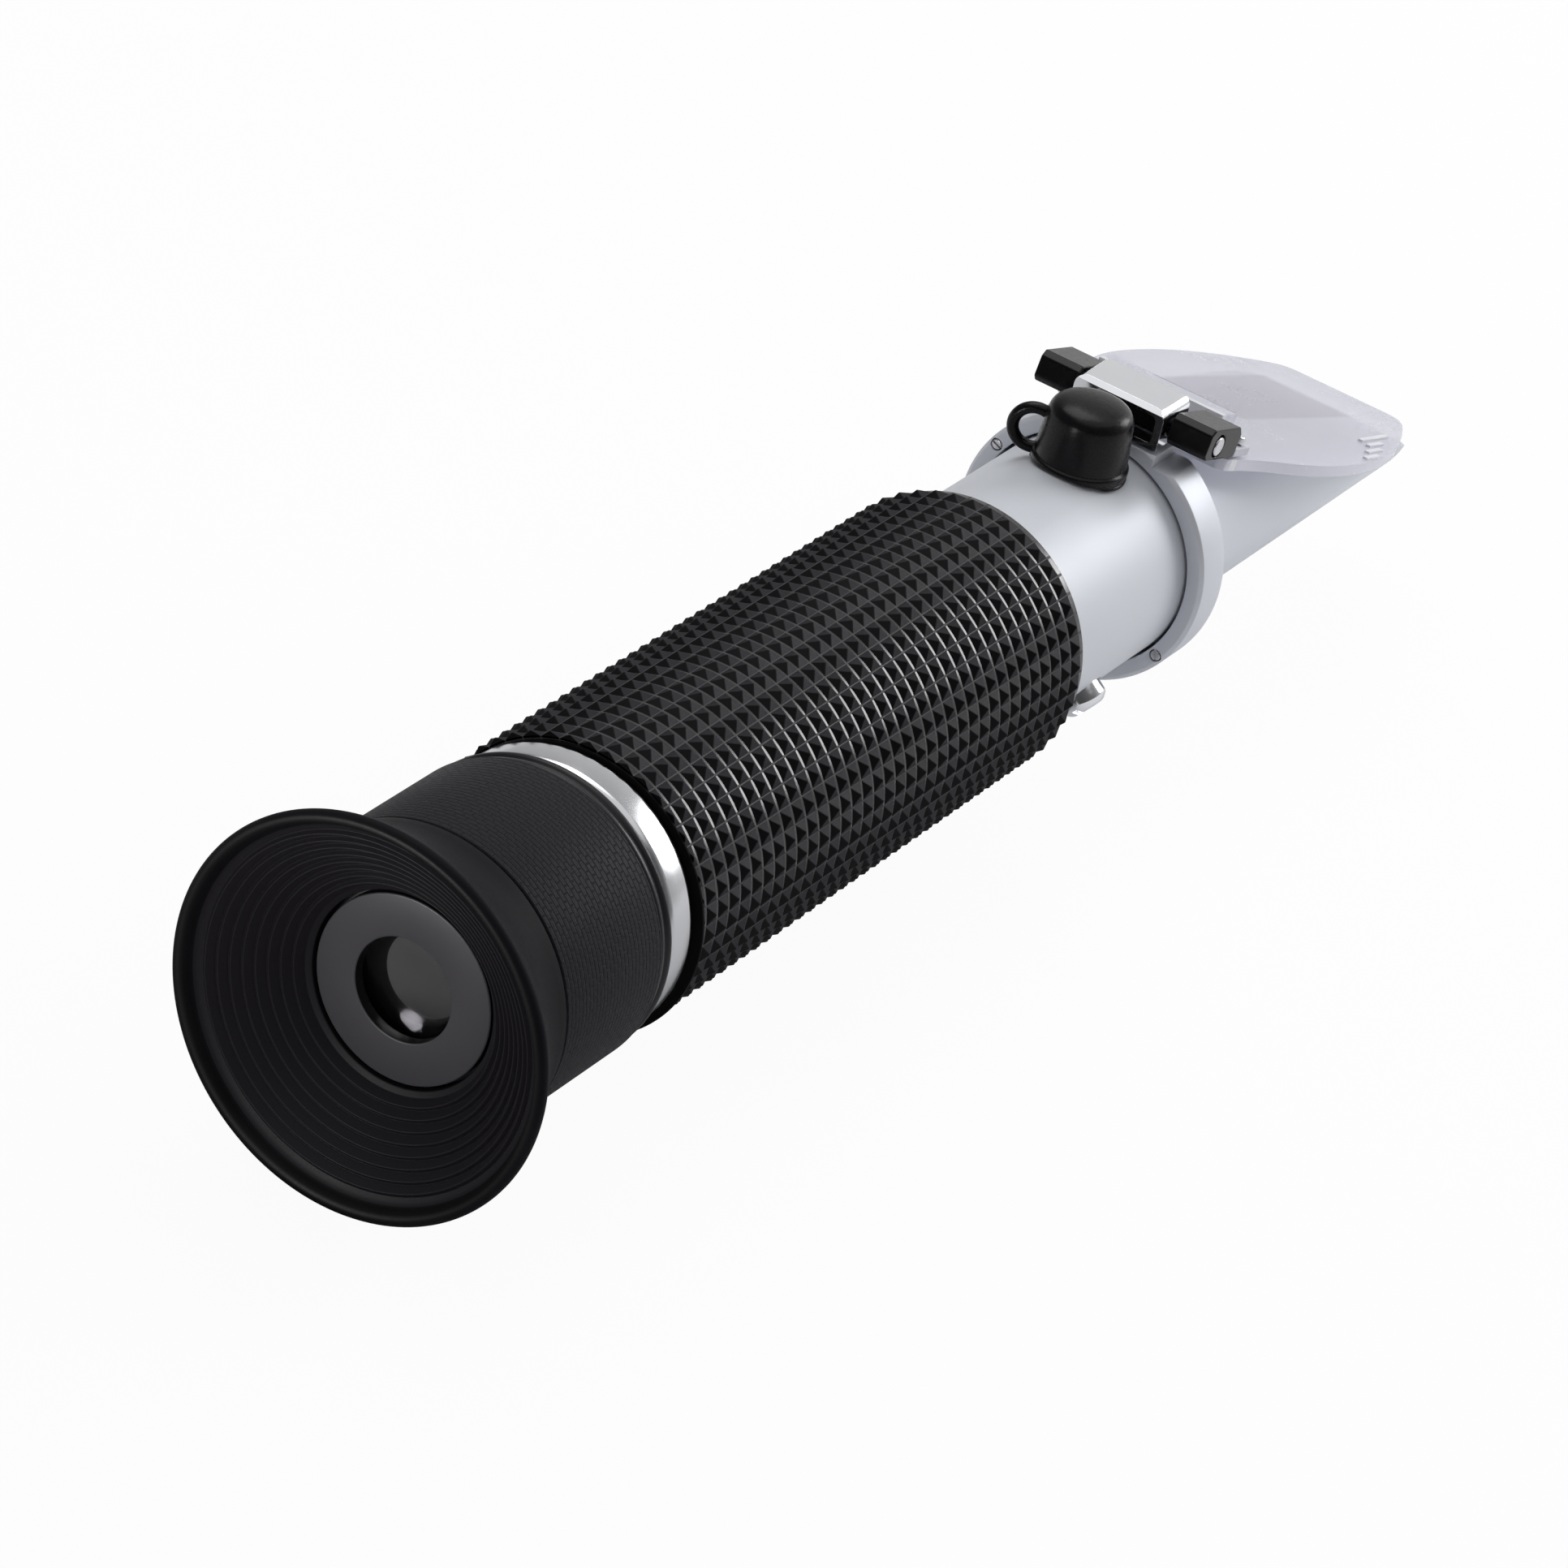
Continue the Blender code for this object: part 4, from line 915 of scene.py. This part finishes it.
def buildArm(name, node, side, values):
    low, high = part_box(node)
    inner = min(abs(low.x), abs(high.x))
    outer = max(abs(low.x), abs(high.x))
    span = sorted((side * inner, side * outer))
    body = slab([(u * mm, n * mm) for u, n in values["profile"]], span[0], span[1], slopeFrame)
    bm = carved(body, rod(values["pinHole"], -beyond, beyond, pinFrame))
    addPiece(name + "Body", bm, hingeGloss, node, edge=values["bevel"], smooth=18, corner=18)

    tongueSpan = sorted((side * (inner + values["tongueStep"]), side * outer))
    tongueStart = max(u for u, _ in values["profile"]) * mm
    bottom = min(n for _, n in values["profile"]) * mm
    tongue = block(tongueSpan, (tongueStart, values["tongueEnd"]), (bottom, bottom + values["tongueThickness"]),
                   slopeFrame)
    bm = carved(tongue, screwHole("plate_screw_right" if side > 0 else "plate_screw_left"))
    addPiece(name + "Tongue", bm, tonguePlastic, node, edge=values["tongueBevel"])


pin = {"radius": 0.9 * mm, "round": 0.15 * mm}


def buildPin(values):
    low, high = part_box("hinge_pin")
    radius, rounding = values["radius"], values["round"]
    points = [(0, low.x), (radius, low.x, rounding), (radius, high.x, rounding), (0, high.x)]
    addPiece("hingePinRod", lathe(points, 48, pinFrame), screwSteel, "hinge_pin")


buildBracket(bracket)
buildArm("hingeArmLeft", "left_hinge_arm", -1, arm)
buildArm("hingeArmRight", "right_hinge_arm", 1, arm)
buildPin(pin)


# Daylight plate: clouded sheet with a ledge behind the hinge, ribs at its tip and two screws

plate = {
    "near": 3.5 * mm,
    "length": 52.9 * mm,
    "halfWidth": 13.1 * mm,
    "top": -1.65 * mm,
    "thickness": 1.1 * mm,
    "edge": 0.12 * mm,
    # shares of the half width, and of the way down
    "outline": [(0.626, 0.0), (0.68, 0.014), (0.733, 0.11), (0.8, 0.172), (0.9, 0.252), (0.977, 0.353),
                (1.0, 0.455), (0.977, 0.566), (0.924, 0.677), (0.8, 0.808), (0.634, 0.925), (0.527, 0.984),
                (0.443, 0.998), (0.366, 1.0)],
    "ledge": (5.0 * mm, 8.5 * mm),
    "ledgeHalf": (4.9 * mm, 6.6 * mm),
    "ledgeTop": 1.65 * mm,
    "ledgeRoot": 0.4 * mm,
    "overhang": -0.2 * mm,
    # x, start and end of each in millimetres
    "ribs": [(9.2, 35.9, 42.6), (10.35, 35.1, 38.6), (11.4, 32.4, 36.0), (12.4, 29.6, 33.0)],
    "ribHalf": 0.24 * mm,
    "ribHeight": 0.22 * mm,
    "ribRoot": 0.3 * mm,
    "ribStart": 20 * mm,
    # painted highlight: raised parts this far above the top, the ribs at the tip, are painted near white
    "ribHighlightHeight": 0.12 * mm,
    # painted shade: the darker window where the prism shows through, as colour on the plate: left, right, start
    # and end
    "prism": (-5.2 * mm, 4.6 * mm, 22.5 * mm, 44.5 * mm),
    "prismSlant": 0.1,
    "paintedWindowColour": (0.52, 0.505, 0.59),
    # painted highlight: a near-white line along the ledge's near top edge
    "highlightLine": (4.9 * mm, 5.9 * mm),
    "highlightColour": (0.95, 0.95, 0.97),
    # painted shade: a dark line along the ledge's far edge, where the step throws shade
    "creaseShade": (8.1 * mm, 8.5 * mm),
    "creaseShadeSpan": (-2.2 * mm, 6.8 * mm),
    "creaseShadeColour": (0.30, 0.29, 0.33),
    # painted light: the sheet's sides are lighter, standing in for light caught in its edge
    "sideLightColour": (0.76, 0.765, 0.86),
    "alpha": 0.7,
    "colour": (0.64, 0.645, 0.74),
    "cloudColour": (0.68, 0.685, 0.775),
}


def plateFinish(values):
    finish = Finish("cloudedPlate", Alpha=values["alpha"], Specular_IOR_Level=0.5, Coat_Weight=0.3,
                    Coat_Roughness=0.08)
    cloud = finish.noise(9 * mm, 3.0, 0.55)
    haze = finish.noise(0.3 * mm, 4.0, 0.6)
    x, y, z = finish.split(finish.place)
    cosine, sine = math.cos(plateSlope), math.sin(plateSlope)
    down = (y - pinY) * cosine - (z - pinZ) * sine
    out = (y - pinY) * sine + (z - pinZ) * cosine
    left, right, start, end = values["prism"]
    slant = x - (down - end) * values["prismSlant"]
    # painted shade: the window where the prism shows through is darkened on the plate itself
    paintedWindowShade = finish.between(slant, left, right, 0.3 * mm) * finish.between(down, start, end, 0.5 * mm)
    # painted shade: a dark line along the ledge's far edge
    creaseShade = finish.between(down, *values["creaseShade"], 0.04 * mm) * finish.between(x, *values["creaseShadeSpan"], 0.1 * mm)
    # painted light: faces across the sheet's thickness are lightened
    side = 1 - finish.facing((0, sine, cosine), 0.25, 0.5)
    # painted highlights: the ledge's edge line and the ribs at the tip are painted near white
    line = finish.between(down, *values["highlightLine"], 0.06 * mm)
    ribs = (out > values["top"] + values["ribHighlightHeight"]) * (down > values["ribStart"])
    sheet = finish.mix(cloud, values["colour"], values["cloudColour"])
    sheet = finish.mix(paintedWindowShade, sheet, values["paintedWindowColour"])
    sheet = finish.mix(creaseShade, sheet, values["creaseShadeColour"])
    sheet = finish.mix(side, sheet, values["sideLightColour"])
    finish.set(Base_Color=finish.mix(line.math("MAXIMUM", line, ribs), sheet, values["highlightColour"]),
               Roughness=0.26 + (haze - 0.5) * 0.04 + (cloud - 0.5) * 0.1,
               Normal=finish.bump(haze, 0.001 * mm, 0.2))
    return finish


def buildPlate(values):
    span = values["length"] - values["near"]
    half = [(values["halfWidth"] * x, values["near"] + span * u) for x, u in values["outline"]]
    right = [(x, u, 0.2 * mm if i < 2 else "flow") for i, (x, u) in enumerate(half)]
    outline = right + [(-x, u, r) for x, u, r in reversed(right)]
    top, ledgeTop = values["top"], values["ledgeTop"]
    sheet = slab(outline, top - values["thickness"], top, slopeFrame, along="z")
    foot, shelf = values["ledgeHalf"]
    ledge = carved(block((-foot, foot), values["ledge"], (top - values["ledgeRoot"], ledgeTop), slopeFrame),
                   block((-shelf, shelf), values["ledge"], (values["overhang"], ledgeTop), slopeFrame),
                   operation="UNION")
    bm = carved(sheet, ledge, operation="UNION")
    bm = carved(bm, screwHole("plate_screw_left"), screwHole("plate_screw_right"))
    ribs = [block((x * mm - values["ribHalf"], x * mm + values["ribHalf"]), (start * mm, end * mm),
                  (top - values["ribRoot"], top + values["ribHeight"]), slopeFrame)
            for x, start, end in values["ribs"]]
    bm = carved(bm, *ribs, operation="UNION")
    addPiece("daylightPlateSheet", bm, plateFinish(values), "daylight_plate", edge=values["edge"], segments=3)


def buildPlateScrew(name, node, turn, values=plateScrew):
    place = screwFrame(node)
    head, shank = values["head"], values["shank"]
    top, under, end = values["top"], values["under"], values["end"]
    points = [(0, top), (head, top, 0.18 * mm), (head, under), (shank, under), (shank, end), (0, end)]
    bm = lathe(points, 48, place)
    slot = slotCutter(values["slot"], top - values["slotDepth"], top + clear, place, turn)
    addPiece(name, carved(bm, slot), screwSteel, node, edge=0.03 * mm)


buildPlate(plate)
buildPlateScrew("plateScrewLeft", "plate_screw_left", 35)
buildPlateScrew("plateScrewRight", "plate_screw_right", 100)
print("hinge and plate made")


# Zero setting: bush, screw and the rubber cap with its loop

cap = {
    "steps": 96,
    # shares of the radius and the height; the base also has its roundings in millimetres
    "outline": [(0.0, 1.0), (0.4, 0.987), (0.7, 0.945), (0.84, 0.865), (0.889, 0.755), (0.922, 0.516),
                (0.944, 0.33)],
    "base": [(0.94, 0.275, 0.05), (1.0, 0.25, 0.12), (1.0, 0.185, 0.08), (0.975, 0.17, 0.03),
             (0.975, 0.15, 0.03), (1.0, 0.135, 0.08), (1.0, 0.0, 0.0)],
    "wall": 0.9 * mm,
    "crown": 1.75 * mm,
    "loopRadius": 1.95 * mm,
    "loopThickness": 0.56 * mm,
    "loopTurn": math.radians(20),
    "loopOut": 0.2 * mm,
    "loopUp": 3.6 * mm,
    "sink": 1.5 * mm,
}


def buildCap(values):
    low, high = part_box("calibration_cap")
    radius = high.x  # the loop is on the other side
    bottom = axisZ + radiusOf("main_tube") - values["sink"]
    height = high.z - bottom
    place = Matrix.Translation((0, capY, 0))
    dome = [(radius * r, bottom + height * h, "flow" if 0 < r < 0.94 else None) for r, h in values["outline"]]
    base = [(radius * r, bottom + height * h, rounding * mm) for r, h, rounding in values["base"]]
    bm = lathe(dome + base + [(0, bottom)], values["steps"], place)
    ring = bmesh.new()
    bmesh.ops.create_circle(ring, segments=20, radius=values["loopThickness"])
    bmesh.ops.translate(ring, vec=(values["loopRadius"], 0, 0), verts=ring.verts)
    bmesh.ops.spin(ring, geom=ring.verts[:] + ring.edges[:], cent=(0, 0, 0), axis=(0, 1, 0), angle=math.tau,
                   steps=64, use_merge=True)
    centre = Vector((-radius - values["loopOut"], 0, bottom + values["loopUp"]))
    turn = place @ Matrix.Rotation(values["loopTurn"], 4, "Z") @ Matrix.Translation(centre)
    bmesh.ops.transform(ring, matrix=turn, verts=ring.verts)
    bm = carved(bm, tidied(ring), operation="UNION")
    inside = rod(radius - values["wall"], bottom - clear, high.z - values["crown"], place, 64)
    saddle = rod(tubeBore, capY - beyond, capY + beyond, barrelFrame, 192)
    addPiece("zeroCapRubber", carved(bm, inside, saddle), capRubber, "calibration_cap", smooth=50)


zeroScrew = {"slot": 0.6 * mm, "slotDepth": 0.8 * mm}


def buildZeroScrew(values):
    # the screw and the bush round it
    low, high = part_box("calibration_bush")
    radius = radiusOf("calibration_bush")
    screwR = radiusOf("calibration_screw")
    bore = screwR + gap
    place = Matrix.Translation((0, capY, 0))
    points = [(bore, low.z), (radius, low.z), (radius, high.z, 0.25 * mm), (bore, high.z, 0.1 * mm)]
    addPiece("zeroBushRing", lathe(points, 64, place), bushSteel, "calibration_bush")
    low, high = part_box("calibration_screw")
    points = [(0, low.z), (screwR, low.z, 0.1 * mm), (screwR, high.z, 0.15 * mm), (0, high.z)]
    slot = slotCutter(values["slot"], high.z - values["slotDepth"], high.z + clear, place)
    addPiece("zeroScrewBrass", carved(lathe(points, 48, place), slot), plainBrass, "calibration_screw")


buildCap(cap)
buildZeroScrew(zeroScrew)
print("zero setting made")


# Finishes of the pieces that keep their CAD shape

inside = {
    anodised: ["lens_cell", "lens_spacer", "field_lens_ring", "reticle_holder", "reticle_lock_ring",
               "bimetal_block", "objective_carrier", "objective_ring"],
    clearGlass: ["reticle_disc"],
    prismGlass: ["measuring_prism"],
    sealSilicone: ["prism_seal"],
    insertPlastic: ["hinge_insert"],
    plainBrass: ["bimetal_strip"],
    screwSteel: ["bimetal_screw"],
}
for finish, nodes in inside.items():
    for node in nodes:
        shown = frame["nodes"][node]
        shown.data.materials.clear()
        shown.data.materials.append(finish.material)
print("inner pieces finished")


# Camera, floor and light

view = {
    "place": (0.2379, -0.54175, 0.3455),
    "forward": (-0.3578, 0.788, -0.501),
    "up": (-0.4248, 0.3404, 0.8388),
    "lens": 177.5,
}


def buildCamera(values):
    lens = bpy.data.cameras.new("camera")
    lens.lens = values["lens"]
    lens.sensor_width = 36
    lens.clip_start = 0.01
    lens.clip_end = 20
    camera = bpy.data.objects.new("camera", lens)
    forward = Vector(values["forward"]).normalized()
    right = forward.cross(Vector(values["up"])).normalized()
    up = right.cross(forward)
    turn = Matrix((right, up, -forward)).transposed().to_4x4()
    camera.matrix_world = Matrix.Translation(values["place"]) @ turn
    bpy.context.scene.collection.objects.link(camera)
    bpy.context.scene.camera = camera


ground = {"size": 3, "colour": (0.86, 0.86, 0.87), "whiteShare": 0.95}


def buildFloor(values):
    # white to the camera but for a share of its own paint, which keeps the object's shadow
    bm = bmesh.new()
    bmesh.ops.create_grid(bm, x_segments=1, y_segments=1, size=values["size"])
    floor = asObject("floor", bm)
    paint = Finish("floorPaint", Base_Color=values["colour"], Roughness=0.9, Specular_IOR_Level=0.1)
    camera, through = paint.outputs("ShaderNodeLightPath", "Is Camera Ray", "Is Transmission Ray")
    share = (camera + through) * values["whiteShare"]
    white = paint.node("ShaderNodeEmission", None, {"Color": (1.0, 1.0, 1.0), "Strength": 1.0})
    own = Wire(paint, paint.shader.outputs[0])
    blend = paint.node("ShaderNodeMixShader", None, {0: share, 1: own, 2: white})
    paint.tree.links.new(blend.socket, paint.tree.nodes["Material Output"].inputs[0])
    floor.data.materials.append(paint.material)


# soft, mirrored and ceiling are the surroundings; the spark is a small lamp by the eye lens
lights = {
    "soft": [(0.0, 0.2), (0.5, 0.34), (1.0, 0.66)],
    "mirrored": [(0.0, 0.05), (0.55, 0.16), (0.85, 0.45), (0.97, 0.9)],
    "ceiling": [(0.84, 0.0), (0.9, 0.9)],
    "back": {"from": (0.42, 0.79, 0.42), "distance": 0.62, "size": (0.30, 0.26), "power": 1.7},
    "top": {"from": (-0.34, 0.2, 0.92), "distance": 0.7, "size": (0.5, 0.5), "power": 1.75},
    "front": {"from": (-0.31, -0.93, 0.17), "distance": 0.05, "size": (0.016, 0.016), "power": 0.08,
              "spark": True},
}


def buildWorld(values):
    # dim behind the camera, bright behind the object; metal also sees a bright ceiling
    world = bpy.data.worlds.new("studio")
    bpy.context.scene.world = world
    world.use_nodes = True
    sky = Nodes(world.node_tree)
    sky.tree.nodes.remove(sky.tree.nodes["Background"])
    camera, glossy = sky.outputs("ShaderNodeLightPath", "Is Camera Ray", "Is Glossy Ray")
    _, along, up = sky.split(sky.node("ShaderNodeTexCoord", out="Generated"))
    depth, rise = along * 0.5 + 0.5, up * 0.5 + 0.5
    mirrored = depth.math("MAXIMUM", sky.ramp(depth, values["mirrored"]), sky.ramp(rise, values["ceiling"]))
    soft, bright, white = (sky.node("ShaderNodeBackground", None, {"Color": colour, "Strength": 1.0})
                           for colour in (sky.ramp(depth, values["soft"]), mirrored, (1.0, 1.0, 1.0)))
    lit = sky.node("ShaderNodeMixShader", None, {0: glossy, 1: soft, 2: bright})
    shown = sky.node("ShaderNodeMixShader", None, {0: camera, 1: lit, 2: white})
    sky.tree.links.new(shown.socket, sky.tree.nodes["World Output"].inputs[0])


def buildLight(name, values):
    spark = values.get("spark", False)
    lamp = bpy.data.lights.new(name, "AREA")
    lamp.shape = "ELLIPSE" if spark else "RECTANGLE"
    lamp.size, lamp.size_y = values["size"]
    lamp.energy = values["power"]
    obj = bpy.data.objects.new(name, lamp)
    way = Vector(values["from"]).normalized()
    target = Vector((0, middle("eye_lens").y if spark else 0, axisZ))
    turn = way.to_track_quat("Z", "Y").to_matrix().to_4x4()
    obj.matrix_world = Matrix.Translation(target + way * values["distance"]) @ turn
    obj.visible_camera = False
    obj.visible_diffuse = not spark  # a spark only shows in reflections
    bpy.context.scene.collection.objects.link(obj)


buildCamera(view)
buildFloor(ground)
buildWorld(lights)
for name in ("back", "top", "front"):
    buildLight(name + "Softbox", lights[name])
bpy.context.scene.view_settings.view_transform = "Standard"
print("camera, floor and light made")
